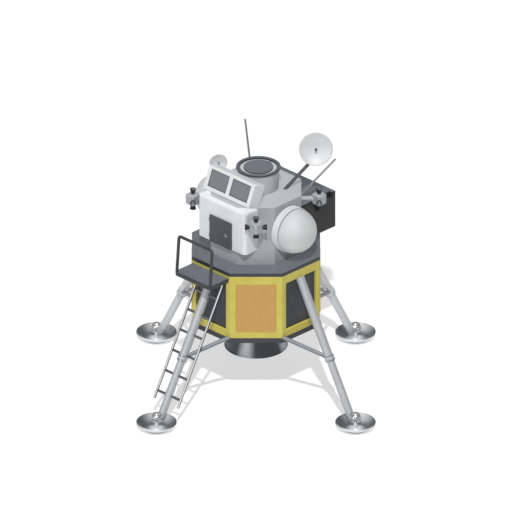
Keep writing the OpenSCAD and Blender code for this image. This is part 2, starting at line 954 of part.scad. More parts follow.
// The room that a rear quad and its plumes take out of the equipment bay
module quad_relief() {
    deep = 430;
    rotate([0, 0, DIAGONAL])
        translate([quad_reach, 0, quad_z])
            rotate([0, 0, DIAGONAL])
                translate([-quad_face - relief, -quad_face - relief, -quad_face - relief])
                    cube([2 * (quad_face + relief) + deep, 2 * (quad_face + relief), deep]);
    rotate([0, 0, DIAGONAL]) {
        translate([0, 0, quad_z])
            rotate([0, QUARTER, 0])
                cylinder(h = quad_reach, r = quad_arm_r + relief, $fn = 48);
        translate([quad_reach, 0, quad_z - deep])
            cylinder(h = deep, r = nozzle_mouth_r + relief, $fn = 48);
        translate([quad_reach, 0, quad_z])
            rotate([QUARTER, 0, 0])
                cylinder(h = 2 * deep, r = nozzle_mouth_r + relief, center = true, $fn = 48);
    }
}

module equipment_bay() {
    z = mid_z + bay_lift;
    color("#5a5d64")
        difference() {
            intersection() {
                translate([0, 0, z])
                    linear_extrude(bay_h)
                        rotate([0, 0, 180])
                            front_rounded([-bay_half_w, -bay_back], [bay_half_w, -mid_apothem / 3], bay_edge_r);
                run_along_x(2 * bay_half_w)
                    all_rounded([0, z], [bay_back, z + bay_h], bay_edge_r);
                translate([0, bay_back, 0])
                    rotate([QUARTER, 0, 0])
                        linear_extrude(bay_back)
                            all_rounded([-bay_half_w, z], [bay_half_w, z + bay_h], bay_edge_r);
            }
            octagon(mid_apothem + face_gap, mid_h, mid_z);
            quad_relief();
            mirror([1, 0, 0])
                quad_relief();
        }
}

// ---------- antennas ----------

// Turns children so that their +X points along the facing azimuth, at a pivot
module at_pivot(pivot, azimuth) {
    translate(pivot)
        rotate([0, 0, azimuth])
            children();
}

// Radii of a fork's stem and cross pin, from the fork's size
function stem_r(s) = 0.15 * s;
function pin_r(s) = 0.12 * s;

// A fork that turns about Z and holds a cross pin: s sets its size
module fork(s, drop) {
    base_r = 0.4 * s;
    base_h = 0.2 * s;
    stem_len = 0.5 * s;
    ear_gap = 0.42 * s;
    ear = 0.16 * s;
    ear_half = 0.22 * s;
    translate([0, 0, -drop]) {
        cylinder(h = base_h, r = base_r, $fn = 48);
        translate([-ear_half, -ear_gap - ear, 0])
            cube([2 * ear_half, 2 * (ear_gap + ear), base_h]);
        for (side = [-1, 1])
            translate([-ear_half, side * (ear_gap + ear / 2) - ear / 2, 0])
                cube([2 * ear_half, ear, drop + ear_half]);
    }
    translate([0, 0, -drop - stem_len])
        cylinder(h = stem_len + base_h / 2, r = stem_r(s), $fn = 32);
    rotate([QUARTER, 0, 0])
        cylinder(h = 2 * (ear_gap + ear), r = pin_r(s), center = true, $fn = 32);
}

// A dish that faces +Z, with its hub and lug round a cross pin at the origin
module reflector(r, depth, hub, s) {
    sphere_r = (r * r + depth * depth) / (2 * depth);
    lug_r = 0.26 * s;
    lug_w = 0.8 * s;
    feed_r = 0.1 * s;
    feed_len = 0.6 * s;
    feed_head = 0.5 * s;
    difference() {
        union() {
            translate([0, 0, hub])
                rotate_extrude($fn = 128)
                    intersection() {
                        difference() {
                            translate([0, sphere_r])
                                circle(r = sphere_r, $fn = 256);
                            translate([0, sphere_r + dish_wall])
                                circle(r = sphere_r, $fn = 256);
                        }
                        square([r + eps, depth]);
                    }
            cylinder(h = hub + dish_wall / 2, r = lug_r, $fn = 32);
            rotate([QUARTER, 0, 0])
                cylinder(h = lug_w, r = lug_r, center = true, $fn = 32);
            translate([0, 0, hub + dish_wall / 2])
                cylinder(h = depth + feed_len, r = feed_r, $fn = 24);
            translate([0, 0, hub + depth + feed_len - feed_head / 2])
                cylinder(h = feed_head, r = lug_r, $fn = 32);
        }
        rotate([QUARTER, 0, 0])
            cylinder(h = 2 * lug_w, r = pin_r(s) + pin_gap, center = true, $fn = 32);
    }
}

// The height of the collar that holds a fork's stem
function collar_h(s) = 0.7 * s;

// That collar, and its bore
module stem_collar(s, drop) {
    translate([0, 0, -drop - collar_h(s)])
        cylinder(h = collar_h(s) - seat_gap, r = 0.4 * s, $fn = 48);
}

module stem_bore(s, drop) {
    translate([0, 0, -drop - 0.6 * s])
        cylinder(h = collar_h(s), r = stem_r(s) + pin_gap, $fn = 32);
}

// The leaning mast ends in a ball under its collar
module dish_mast() {
    knee = dish_pivot - [0, 0, mast_top_drop + collar_h(dish_fork)];
    color("#55585d")
        difference() {
            union() {
                rod([mast_foot[0], mast_foot[1], roof_z - 2 * mast_r], knee, mast_r);
                translate(knee)
                    sphere(r = mast_knee_r, $fn = 64);
                translate(dish_pivot)
                    stem_collar(dish_fork, mast_top_drop);
            }
            translate(dish_pivot)
                stem_bore(dish_fork, mast_top_drop);
            translate([0, 0, roof_z + face_gap - far])
                cylinder(h = far, r = far, $fn = 8);
        }
}

module dish_yoke() {
    color("#55585d")
        at_pivot(dish_pivot, dish_aim)
            fork(dish_fork, mast_top_drop);
}

module dish() {
    color("#dfdfdf")
        at_pivot(dish_pivot, dish_aim)
            rotate([0, QUARTER - dish_tip, 0])
                reflector(dish_r, dish_depth, dish_hub, dish_fork);
}

module radar_mast() {
    color("#c0c2c5")
        difference() {
            union() {
                translate(radar_pivot)
                    stem_collar(radar_fork, radar_drop);
                translate([radar_pivot[0], radar_pivot[1], roof_z + face_gap])
                    cylinder(h = radar_pivot[2] - roof_z - radar_drop - radar_fork * 2 / 3,
                             r = radar_post_r, $fn = 48);
            }
            translate(radar_pivot)
                stem_bore(radar_fork, radar_drop);
        }
}

module radar_yoke() {
    color("#c0c2c5")
        at_pivot(radar_pivot, radar_aim)
            fork(radar_fork, radar_drop);
}

module radar_dish() {
    color("#dfdfdf")
        at_pivot(radar_pivot, radar_aim)
            rotate([0, QUARTER - radar_tip, 0])
                reflector(radar_r, radar_depth, radar_hub, radar_fork);
}

module left_whip() {
    difference() {
        translate([left_whip_foot[0], left_whip_foot[1], roof_z]) {
            cylinder(h = whip_boss_h, r = 2 * whip_r, $fn = 32);
            rotate([0, 0, -3 * DIAGONAL])
                rotate([0, left_whip_lean, 0])
                    translate([0, 0, -whip_r])
                        cylinder(h = left_whip_len + whip_r, r = whip_r, $fn = 32);
        }
        translate([0, 0, roof_z + face_gap - far])
            cylinder(h = far, r = far, $fn = 8);
    }
}

module right_whip() {
    difference() {
        rotate([0, 0, DIAGONAL])
            translate([mid_apothem, 0, right_whip_z]) {
                rotate([0, right_whip_lean, 0])
                    translate([0, 0, -3 * whip_r])
                        cylinder(h = right_whip_len + 3 * whip_r, r = whip_r, $fn = 32);
                rotate([0, QUARTER, 0])
                    cylinder(h = whip_boss_h, r = 1.3 * whip_r, $fn = 32);
            }
        octagon(mid_apothem, mid_h, mid_z);
    }
}

module whip_antennas() {
    color("#9c9ea2") {
        left_whip();
        right_whip();
    }
}

// ---------- nodes ----------

descent_frame();
base_plate();
top_deck();
for (i = [0:3]) {
    turn = [0, 0, QUARTER * i];
    corner_turn = [0, 0, QUARTER * i + DIAGONAL];
    rotate(turn) bay_panel();
    rotate(turn) strut_cylinder();
    rotate(turn) strut_piston();
    rotate(turn) footpad();
    rotate(turn) braces();
    rotate(corner_turn) foil_panel();
    difference() {
            rotate(corner_turn) thrusters();
            cabin_block();
        }
}
rotate([0, 0, -QUARTER]) ladder();
rotate([0, 0, -QUARTER]) platform();
rotate([0, 0, -QUARTER]) handrail();
engine_chamber();
engine_bell();
gimbal_ring();
gimbal_posts();
midsection();
crew_cabin();
window_housing();
windows();
hatch_hinges();
front_hatch();
hatch_handle();
docking_tunnel();
docking_ring();
docking_seat();
docking_lid();
side_tank();  // left_tank
mirror([1, 0, 0]) side_tank();  // right_tank
equipment_bay();
dish_mast();
dish_yoke();
dish();
radar_mast();
radar_yoke();
radar_dish();
whip_antennas();
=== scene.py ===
# %% [markdown]
# # A crewed lunar lander, piece by piece
# This lesson dresses a ready-made mechanical model of a two-stage lunar lander. The model arrives in metres
# with +Z up and the hatch facing -Y, and its moving pieces already have their joints. Frames, plates,
# blocks and tubes keep their shape and get a finish, and some of them softened edges. Turned, hollow and
# small pieces are rebuilt here with finer meshes that ride on the same joints.

# %% Load the model
import math
import bpy
import bmesh
from mathutils import Matrix, Vector


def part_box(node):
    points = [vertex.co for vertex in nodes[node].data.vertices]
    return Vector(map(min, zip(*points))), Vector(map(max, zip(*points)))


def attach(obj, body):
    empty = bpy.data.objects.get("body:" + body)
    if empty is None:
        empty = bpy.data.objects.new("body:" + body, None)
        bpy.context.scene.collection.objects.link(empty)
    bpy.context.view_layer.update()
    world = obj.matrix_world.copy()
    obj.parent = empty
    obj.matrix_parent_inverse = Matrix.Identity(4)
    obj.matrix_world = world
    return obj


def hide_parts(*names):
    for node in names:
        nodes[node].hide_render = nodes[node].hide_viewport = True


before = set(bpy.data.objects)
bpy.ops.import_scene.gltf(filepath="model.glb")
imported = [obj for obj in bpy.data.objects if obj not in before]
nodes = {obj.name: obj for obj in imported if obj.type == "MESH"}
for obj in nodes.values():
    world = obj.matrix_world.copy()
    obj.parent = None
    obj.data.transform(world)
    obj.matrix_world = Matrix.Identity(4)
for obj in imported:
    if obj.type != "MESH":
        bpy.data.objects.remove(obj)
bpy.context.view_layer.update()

# %% [markdown]
# ## The camera
# The lander is seen from its front left, a little above, with no perspective, so parallel edges stay
# parallel. An orthographic camera does that: its scale is the width of the view in metres.

# %% Camera
VIEW_TURN, VIEW_RISE = math.radians(45), math.radians(26.96)
towards_camera = Vector((math.sin(VIEW_TURN) * math.cos(VIEW_RISE),
                         -math.cos(VIEW_TURN) * math.cos(VIEW_RISE), math.sin(VIEW_RISE)))
camera_data = bpy.data.cameras.new("camera")
camera_data.type = "ORTHO"
camera_data.ortho_scale = 14.848
camera_data.clip_end = 200
camera = bpy.data.objects.new("camera", camera_data)
camera.location = Vector((0, 0, 4.164)) + towards_camera * 40
camera.rotation_mode = "QUATERNION"
camera.rotation_quaternion = (-towards_camera).to_track_quat("-Z", "Y")
bpy.context.scene.collection.objects.link(camera)
bpy.context.scene.camera = camera
print("the view is", camera_data.ortho_scale, "m wide")

# %% [markdown]
# ## Light
# One sun from the camera's side draws a crisp shadow behind the lander, and a dim even sky fills the rest.
# A studio adds a big overhead panel. Here it is a second sun straight above that casts no shadow, so the
# floor under the lander stays pale. A weak third one, also without a shadow, lifts the hatch side a little
# above the tank side.

# %% Light
def sun_lamp(name, turn, rise, strength, width, shadow=True):
    lamp = bpy.data.lights.new(name, "SUN")
    lamp.energy = strength
    lamp.use_shadow = shadow
    lamp.angle = math.radians(width)
    holder = bpy.data.objects.new(name, lamp)
    t, r = math.radians(turn), math.radians(rise)
    source = Vector((math.sin(t) * math.cos(r), -math.cos(t) * math.cos(r), math.sin(r)))
    holder.rotation_mode = "QUATERNION"
    holder.rotation_quaternion = source.to_track_quat("Z", "Y")
    bpy.context.scene.collection.objects.link(holder)
    return holder


sun_lamp("key", 45, 47, 1.62, 1)
sun_lamp("front_fill", 5, 25, 0.73, 1, False)
sun_lamp("overhead_panel", 45, 90, 1.55, 1, False)
studio = bpy.data.worlds.new("studio")
studio.use_nodes = True
studio.node_tree.nodes["Background"].inputs["Color"].default_value = (1, 1, 1, 1)
studio.node_tree.nodes["Background"].inputs["Strength"].default_value = 0.17
bpy.context.scene.world = studio
bpy.context.scene.view_settings.view_transform = "Standard"
print("sun and sky are set")

# %% [markdown]
# ## Colours and nodes
# Paint charts give colours as sRGB hex codes, and shaders work in linear light, so one function turns one
# into the other. A second small function adds a node, fills its settings and joins its inputs, and every
# finish below is built with it.

# %% Helpers for finishes
def linear(code):
    steps = [int(code[i:i + 2], 16) / 255 for i in (1, 3, 5)]
    return tuple(s / 12.92 if s <= 0.04045 else ((s + 0.055) / 1.055) ** 2.4 for s in steps) + (1,)


def add(tree, kind, settings=None, links=None):
    node = tree.nodes.new(kind)
    for key, value in (settings or {}).items():
        if isinstance(key, int) or key in node.inputs:
            node.inputs[key].default_value = value
        else:
            setattr(node, key, value)
    for key, source in (links or {}).items():
        tree.links.new(source, node.inputs[key])
    return node


def finish_named(name):
    material = bpy.data.materials.new(name)
    material.use_nodes = True
    tree = material.node_tree
    return material, tree, tree.nodes["Principled BSDF"], add(tree, "ShaderNodeTexCoord").outputs["Object"]


MIX_A, MIX_B, MIX_COLOUR = 6, 7, 2
MM = 0.001
print("white is", linear("#ffffff"), "and mid grey is", round(linear("#808080")[0], 3))

# %% [markdown]
# ## Sprayed thermal paint
# Most of the lander is aluminium sprayed with a matte ceramic-filled paint that keeps the cabin's
# temperature even. Spraying leaves an orange-peel skin about 3 mm across, which only breaks up the light,
# and handling and dust leave faint patches a few hand widths across. A painted skin is a dielectric: IOR
# about 1.5, rough, not metallic. The peel is drawn at 12 mm so that it shows at this distance. Some pieces
# get a lighter top in a second colour, which starts at a height on the piece: painted light that stands in
# for the brighter light on their upward faces, with the sides left darker.

# %% Sprayed paint
PEEL_MM, PATCH_MM, RELIEF_MM, EDGE_MM = 12, 450, 0.5, 3


def sprayed_paint(name, fresh, dusty, roughness, top=None, level=0.0):
    material, tree, skin, place = finish_named(name)
    patches = add(tree, "ShaderNodeTexNoise",
                  {"Scale": 1 / (PATCH_MM * MM), "Detail": 5, "Roughness": 0.55}, {"Vector": place})
    spread = add(tree, "ShaderNodeMapRange", {"From Min": 0.35, "From Max": 0.65},
                 {"Value": patches.outputs["Fac"]})
    tone = add(tree, "ShaderNodeMix", {"data_type": "RGBA", MIX_A: linear(fresh), MIX_B: linear(dusty)},
               {0: spread.outputs["Result"]})
    peel = add(tree, "ShaderNodeTexNoise", {"Scale": 1 / (PEEL_MM * MM), "Detail": 2}, {"Vector": place})
    relief = add(tree, "ShaderNodeBump", {"Strength": 0.35, "Distance": RELIEF_MM * MM},
                 {"Height": peel.outputs["Fac"]})
    dull = add(tree, "ShaderNodeMapRange", {"To Min": roughness - 0.07, "To Max": roughness + 0.07},
               {"Value": patches.outputs["Fac"]})
    colour = tone.outputs[MIX_COLOUR]
    # The lighter top is painted light, standing in for the brighter light on upward faces.
    if top:
        height = add(tree, "ShaderNodeSeparateXYZ", None, {"Vector": place}).outputs["Z"]
        above = add(tree, "ShaderNodeMapRange",
                    {"From Min": level - EDGE_MM * MM, "From Max": level + EDGE_MM * MM},
                    {"Value": height})
        colour = add(tree, "ShaderNodeMix", {"data_type": "RGBA", MIX_B: linear(top)},
                     {0: above.outputs["Result"], MIX_A: colour}).outputs[MIX_COLOUR]
    tree.links.new(colour, skin.inputs["Base Color"])
    tree.links.new(relief.outputs["Normal"], skin.inputs["Normal"])
    tree.links.new(dull.outputs["Result"], skin.inputs["Roughness"])
    skin.inputs["IOR"].default_value = 1.5
    return material


def top_level(node, below_mm):
    """The height, in the piece's own coordinates, a little below its highest point."""
    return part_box(node)[1].z - nodes[node].matrix_world.translation.z - below_mm * MM


white_paint = sprayed_paint("white_thermal_paint", "#dedfe2", "#d6d7da", 0.62)
drum_white = sprayed_paint("tank_drum_paint", "#cfd0d3", "#c8c9cc", 0.55)
tank_white = sprayed_paint("tank_dome_paint", "#c3c4c5", "#bdbebf", 0.5)
housing_white = sprayed_paint("window_housing_paint", "#d8dadc", "#d1d3d5", 0.55)
grey_paint = sprayed_paint("grey_thermal_paint", "#b9bbbf", "#b0b2b6", 0.62)
# The lighter tops below are painted light on upward faces; the sides keep the darker paint.
mid_paint = sprayed_paint("midsection_paint", "#a4a6aa", "#9da0a4", 0.62, top="#b0b2b6",
                          level=top_level("midsection", 6))
deck_paint = sprayed_paint("deck_paint", "#33363c", "#2f3237", 0.55, top="#63676e",
                           level=top_level("top_deck", 8))
bay_paint = sprayed_paint("equipment_bay_paint", "#1f2023", "#1c1d1f", 0.6, top="#63666d",
                          level=top_level("equipment_bay", 28))
ring_paint = sprayed_paint("docking_ring_paint", "#2b2d31", "#27292d", 0.5, top="#5a5e65",
                           level=top_level("docking_ring", 8))
lid_paint = sprayed_paint("docking_lid_paint", "#2f3237", "#2b2d31", 0.55, top="#686c74",
                          level=top_level("docking_lid", 4))
mast_paint = sprayed_paint("dish_mast_paint", "#505358", "#484b50", 0.5)
tunnel_paint = sprayed_paint("docking_tunnel_paint", "#babcc0", "#b3b5b9", 0.6)
quad_paint = sprayed_paint("thruster_block_paint", "#a3a5a9", "#9b9da1", 0.6)
seat_paint = sprayed_paint("docking_seat_paint", "#c4c7ce", "#bcbfc6", 0.55)
slate_paint = sprayed_paint("slate_paint", "#686c74", "#60646d", 0.55)
hatch_paint = sprayed_paint("hatch_slate_paint", "#434750", "#3c4048", 0.5)
charcoal_paint = sprayed_paint("charcoal_paint", "#3a3d42", "#323539", 0.6)
bay_black = sprayed_paint("black_heat_paint", "#3f4146", "#35373b", 0.65)
yellow_paint = sprayed_paint("yellow_frame_paint", "#c6bd56", "#bdb04c", 0.5)
print("sprayed paints are ready")

# %% [markdown]
# ## Amber foil
# The diagonal faces are closed by panels of polyimide film with aluminium on its back, taped over a stiff
# board. The film is amber, a little glossy and never quite flat: it has soft ridges about a hand width
# apart and fine creases. The metal behind the film gives warm reflections, so the finish is partly metallic
# under a clear coat.

# %% Amber polyimide film
def amber_film():
    material, tree, skin, place = finish_named("amber_polyimide_film")
    ridges = add(tree, "ShaderNodeTexNoise", {"Scale": 1 / (120 * MM), "Detail": 3, "Distortion": 0.4},
                 {"Vector": place})
    creases = add(tree, "ShaderNodeTexVoronoi", {"feature": "DISTANCE_TO_EDGE", "Scale": 1 / (90 * MM)},
                  {"Vector": place})
    crease_line = add(tree, "ShaderNodeMapRange", {"From Max": 0.06}, {"Value": creases.outputs["Distance"]})
    tone = add(tree, "ShaderNodeMix",
               {"data_type": "RGBA", MIX_A: linear("#b98d45"), MIX_B: linear("#c39953")},
               {0: ridges.outputs["Fac"]})
    height = add(tree, "ShaderNodeMath", {"operation": "MULTIPLY_ADD", 1: 0.25},
                 {0: crease_line.outputs["Result"], 2: ridges.outputs["Fac"]})
    relief = add(tree, "ShaderNodeBump", {"Strength": 0.5, "Distance": 4 * MM},
                 {"Height": height.outputs["Value"]})
    tree.links.new(tone.outputs[MIX_COLOUR], skin.inputs["Base Color"])
    tree.links.new(relief.outputs["Normal"], skin.inputs["Normal"])
    skin.inputs["Metallic"].default_value = 0.25
    skin.inputs["Roughness"].default_value = 0.45
    skin.inputs["Coat Weight"].default_value = 0.3
    skin.inputs["Coat Roughness"].default_value = 0.25
    return material


amber_foil = amber_film()
print("amber film is ready")

# %% [markdown]
# ## Bare and worked metal
# Leg tubes are bead-blasted aluminium: even, pale and soft in its highlights, with a grit of about 0.2 mm,
# drawn at 8 mm so that it shows. The two legs behind get a paler copy of the same metal, painted light
# that makes up for the light they lack, so that they look as bright as the front pair from this side. The
# thrusters' cones are a heat-darkened alloy with faint bands round them. One recipe serves them all,
# because only colour, roughness and the direction of the fine lines change.

# %% Worked metals
def worked_metal(name, bright, dark, roughness, line_mm, squash, metallic=1.0):
    material, tree, skin, place = finish_named(name)
    stretch = add(tree, "ShaderNodeMapping", {"Scale": squash}, {"Vector": place})
    lines = add(tree, "ShaderNodeTexNoise", {"Scale": 1 / (line_mm * MM), "Detail": 4},
                {"Vector": stretch.outputs["Vector"]})
    stains = add(tree, "ShaderNodeTexNoise", {"Scale": 1 / (300 * MM), "Detail": 4}, {"Vector": place})
    tone = add(tree, "ShaderNodeMix", {"data_type": "RGBA", MIX_A: linear(dark), MIX_B: linear(bright)},
               {0: stains.outputs["Fac"]})
    dull = add(tree, "ShaderNodeMapRange", {"To Min": roughness * 0.75, "To Max": roughness * 1.25},
               {"Value": lines.outputs["Fac"]})
    relief = add(tree, "ShaderNodeBump", {"Strength": 0.2, "Distance": 0.3 * MM},
                 {"Height": lines.outputs["Fac"]})
    tree.links.new(tone.outputs[MIX_COLOUR], skin.inputs["Base Color"])
    tree.links.new(dull.outputs["Result"], skin.inputs["Roughness"])
    tree.links.new(relief.outputs["Normal"], skin.inputs["Normal"])
    skin.inputs["Metallic"].default_value = metallic
    return material


blasted_aluminium = worked_metal("bead_blasted_aluminium", "#b4b6b9", "#a9abaf", 0.55, 8, (1, 1, 1), 0.35)
# A paler copy of the blasted aluminium: painted light for the two legs behind.
painted_light_aluminium = worked_metal("painted_light_aluminium", "#c8cacd", "#bec0c4", 0.55, 8, (1, 1, 1), 0.35)
brace_aluminium = worked_metal("dull_brace_aluminium", "#84878c", "#787b80", 0.5, 8, (1, 1, 1), 0.4)
polished_aluminium = worked_metal("polished_aluminium", "#c9cacc", "#babcbf", 0.24, 6, (1, 1, 8), 0.7)
rung_steel = worked_metal("ribbed_steel_rung", "#8d9095", "#74777c", 0.35, 5, (1, 8, 1), 0.8)
nozzle_alloy = worked_metal("heat_darkened_nozzle_alloy", "#3c3d40", "#2b2c2f", 0.42, 10, (1, 1, 12), 0.6)
bell_alloy = worked_metal("heat_darkened_bell_alloy", "#45464a", "#36373a", 0.45, 20, (1, 1, 10), 0.6)
brushed_steel = worked_metal("brushed_steel", "#a9abb0", "#96999e", 0.3, 4, (8, 1, 1))
dish_metal = worked_metal("satin_dish_aluminium", "#cbcccd", "#c3c4c5", 0.5, 6, (1, 1, 1), 0.15)
radar_metal = worked_metal("small_dish_aluminium", "#e2e2e3", "#d6d7d8", 0.5, 6, (1, 1, 1), 0.15)
whip_metal = worked_metal("whip_antenna_metal", "#8f9194", "#858789", 0.5, 8, (1, 1, 1), 0.2)
print("worked metals are ready")

# %% [markdown]
# ## Polished sheet and tube
# Polished metal shows its surroundings as a few bright and dark bands that follow its shape. In an empty
# studio there is nothing to mirror, so the bands are painted in: round the bell as soft upright bands, in a
# pad as a bright floor, a darker ring and two darker sides, and along a ladder rail as one bright strip
# between two dark ones. The bell and pads are spun, so fine turning lines, drawn 25 mm apart, break the
# bands up.

# %% Bands and turning lines
TURNING_LINE_MM = 25


def bands_round(tree, centred, count, phase):
    """A wave from -1 to 1 that runs a number of times round the upright axis."""
    turn = add(tree, "ShaderNodeTexGradient", {"gradient_type": "RADIAL"}, {"Vector": centred})
    wave = add(tree, "ShaderNodeMath",
               {"operation": "MULTIPLY_ADD", 1: 2 * math.pi * count, 2: math.radians(phase)},
               {0: turn.outputs["Fac"]})
    return add(tree, "ShaderNodeMath", {"operation": "COSINE"}, {0: wave.outputs["Value"]}).outputs["Value"]


def turned_tone(tree, skin, place, pattern, squash, depth, dark, bright):
    """Colour from dark to bright by a pattern of 0 to 1, broken up by turning lines of a given depth."""
    stretch = add(tree, "ShaderNodeMapping", {"Scale": squash}, {"Vector": place})
    lines = add(tree, "ShaderNodeTexNoise", {"Scale": 1 / (TURNING_LINE_MM * MM), "Detail": 4},
                {"Vector": stretch.outputs["Vector"]})
    mottled = add(tree, "ShaderNodeMath", {"operation": "MULTIPLY_ADD", 1: depth},
                  {0: lines.outputs["Fac"], 2: pattern})
    share = add(tree, "ShaderNodeMath", {"operation": "SUBTRACT", "use_clamp": True, 1: depth / 2},
                {0: mottled.outputs["Value"]})
    tone = add(tree, "ShaderNodeMix", {"data_type": "RGBA", MIX_A: linear(dark), MIX_B: linear(bright)},
               {0: share.outputs["Value"]})
    tree.links.new(tone.outputs[MIX_COLOUR], skin.inputs["Base Color"])


def spun_bell_metal(dark, bright):
    material, tree, skin, place = finish_named("polished_nozzle_alloy")
    sheen = add(tree, "ShaderNodeMapRange", {"From Min": 0.1, "interpolation_type": "SMOOTHSTEP"},
                {"Value": bands_round(tree, place, 4, 263)})
    turned_tone(tree, skin, place, sheen.outputs["Result"], (1, 1, 10), 0.25, dark, bright)
    skin.inputs["Metallic"].default_value = 0.4
    skin.inputs["Roughness"].default_value = 0.4
    return material


spun_bell = spun_bell_metal("#4c4f54", "#a6a9ad")
print("the bell's metal is ready")

# %% [markdown]
# ## Pressed pad metal
# A pad is one pressing of aluminium, seen from inside and outside at once, and its colour is painted
# reflection and shade. The inside goes by the distance from the pad's middle: a bright floor, then walls
# with two bright and two dark sides. The outside goes by height: painted shade where it curves under, a
# painted highlight at the rim. The surface's own normal tells the two apart, since only the outside faces
# down.

# %% Pressed pad metal
FLOOR_REACH, FLOOR_MIDDLE, WALL_START, WALL_FULL = 0.34, 0.08, 0.30, 0.46
UNDERSIDE_TOP, RIM_BAND = 0.09, 0.17


def pressed_pad_metal(name, centre, dark, bright):
    material, tree, skin, place = finish_named(name)
    centred = add(tree, "ShaderNodeMapping", {"Location": (-centre.x, -centre.y, 0)}, {"Vector": place})
    flat = add(tree, "ShaderNodeVectorMath", {"operation": "MULTIPLY", 1: (1, 1, 0)},
               {0: centred.outputs["Vector"]})
    reach = add(tree, "ShaderNodeVectorMath", {"operation": "LENGTH"},
                {0: flat.outputs["Vector"]}).outputs["Value"]
    # Painted reflection inside: a bright floor and two bright and two dark wall lobes.
    floor = add(tree, "ShaderNodeMapRange",
                {"From Min": FLOOR_REACH, "From Max": FLOOR_MIDDLE,
                 "interpolation_type": "SMOOTHSTEP"}, {"Value": reach})
    lobe = add(tree, "ShaderNodeMapRange", {"From Min": -0.8, "From Max": 0.8, "To Max": 0.7},
               {"Value": bands_round(tree, centred.outputs["Vector"], 2, 115)})
    side = add(tree, "ShaderNodeMapRange", {"From Min": WALL_START, "From Max": WALL_FULL}, {"Value": reach})
    walls = add(tree, "ShaderNodeMath", {"operation": "MULTIPLY"},
                {0: lobe.outputs["Result"], 1: side.outputs["Result"]})
    inner = add(tree, "ShaderNodeMath", {"operation": "MAXIMUM"},
                {0: walls.outputs["Value"], 1: floor.outputs["Result"]})
    height = add(tree, "ShaderNodeSeparateXYZ", None, {"Vector": place})
    # Painted shade on the underside and a painted highlight at the rim.
    outer = add(tree, "ShaderNodeMapRange",
                {"From Min": UNDERSIDE_TOP, "From Max": RIM_BAND, "interpolation_type": "SMOOTHSTEP"},
                {"Value": height.outputs["Z"]})
    facing = add(tree, "ShaderNodeSeparateXYZ", None,
                 {"Vector": add(tree, "ShaderNodeTexCoord").outputs["Normal"]})
    below = add(tree, "ShaderNodeMapRange", {"From Min": 0.05, "From Max": -0.05},
                {"Value": facing.outputs["Z"]})
    pattern = add(tree, "ShaderNodeMix", {"data_type": "FLOAT"},
                  {0: below.outputs["Result"], 2: inner.outputs["Value"], 3: outer.outputs["Result"]})
    turned_tone(tree, skin, place, pattern.outputs[0], (1, 1, 1), 0.2, dark, bright)
    skin.inputs["Metallic"].default_value = 0.25
    skin.inputs["Roughness"].default_value = 0.35
    return material


print("the pads' metal is ready, with a bright floor", 2 * FLOOR_REACH, "m across")

# %% [markdown]
# ## Chromed rail
# A ladder rail is chromed steel tube. Chrome on a thin round tube reads as a bright strip with a broad dark
# strip on one side and a dark hairline on the other, so these are painted in as a reflection whose colour
# goes by how far the surface turns to the right of the view.

# %% Chromed rail
ACROSS_VIEW = (0.707, 0.707, 0.0)
STRIP_SHIFT, STRIP_INNER, STRIP_OUTER = 0.28, 0.42, 0.58


def chromed_rail(bright, buffed_bright, dark):
    material, tree, skin, place = finish_named("chromed_steel_rail")
    # The bright and dark strips are a painted reflection.
    facing = add(tree, "ShaderNodeVectorMath", {"operation": "DOT_PRODUCT", 1: ACROSS_VIEW},
                 {0: add(tree, "ShaderNodeTexCoord").outputs["Normal"]})
    shifted = add(tree, "ShaderNodeMath", {"operation": "ADD", 1: STRIP_SHIFT}, {0: facing.outputs["Value"]})
    off_strip = add(tree, "ShaderNodeMath", {"operation": "ABSOLUTE"}, {0: shifted.outputs["Value"]})
    side = add(tree, "ShaderNodeMapRange", {"From Min": STRIP_INNER, "From Max": STRIP_OUTER},
               {"Value": off_strip.outputs["Value"]})
    buffed = add(tree, "ShaderNodeTexNoise", {"Scale": 1 / (40 * MM), "Detail": 3}, {"Vector": place})
    strip = add(tree, "ShaderNodeMix",
                {"data_type": "RGBA", MIX_A: linear(bright), MIX_B: linear(buffed_bright)},
                {0: buffed.outputs["Fac"]})
    tone = add(tree, "ShaderNodeMix", {"data_type": "RGBA", MIX_B: linear(dark)},
               {0: side.outputs["Result"], MIX_A: strip.outputs[MIX_COLOUR]})
    tree.links.new(tone.outputs[MIX_COLOUR], skin.inputs["Base Color"])
    skin.inputs["Metallic"].default_value = 0.3
    skin.inputs["Roughness"].default_value = 0.25
    return material


rail_chrome = chromed_rail("#d9dbdd", "#c9cbce", "#1d1f22")
print("the rail's chrome is ready")

# %% [markdown]
# ## Smoked glass and seals
# Each window is a smoked pane that shows mostly sky, in a dark seal of moulded rubber about 30 mm wide.
# Real glass at this distance reads as a grey mirror, so the pane is a smooth dielectric with a grey body
# under it, partly the smoke's own tint and partly painted reflection of the sky.

# %% Glass and rubber
def smoked_glass():
    material, tree, skin, place = finish_named("smoked_window_glass")
    film = add(tree, "ShaderNodeTexNoise", {"Scale": 1 / (350 * MM), "Detail": 2}, {"Vector": place})
    tone = add(tree, "ShaderNodeMix",
               {"data_type": "RGBA", MIX_A: linear("#72757c"), MIX_B: linear("#7c7f85")},
               {0: film.outputs["Fac"]})
    tree.links.new(tone.outputs[MIX_COLOUR], skin.inputs["Base Color"])
    skin.inputs["Roughness"].default_value = 0.12
    skin.inputs["IOR"].default_value = 1.52
    return material


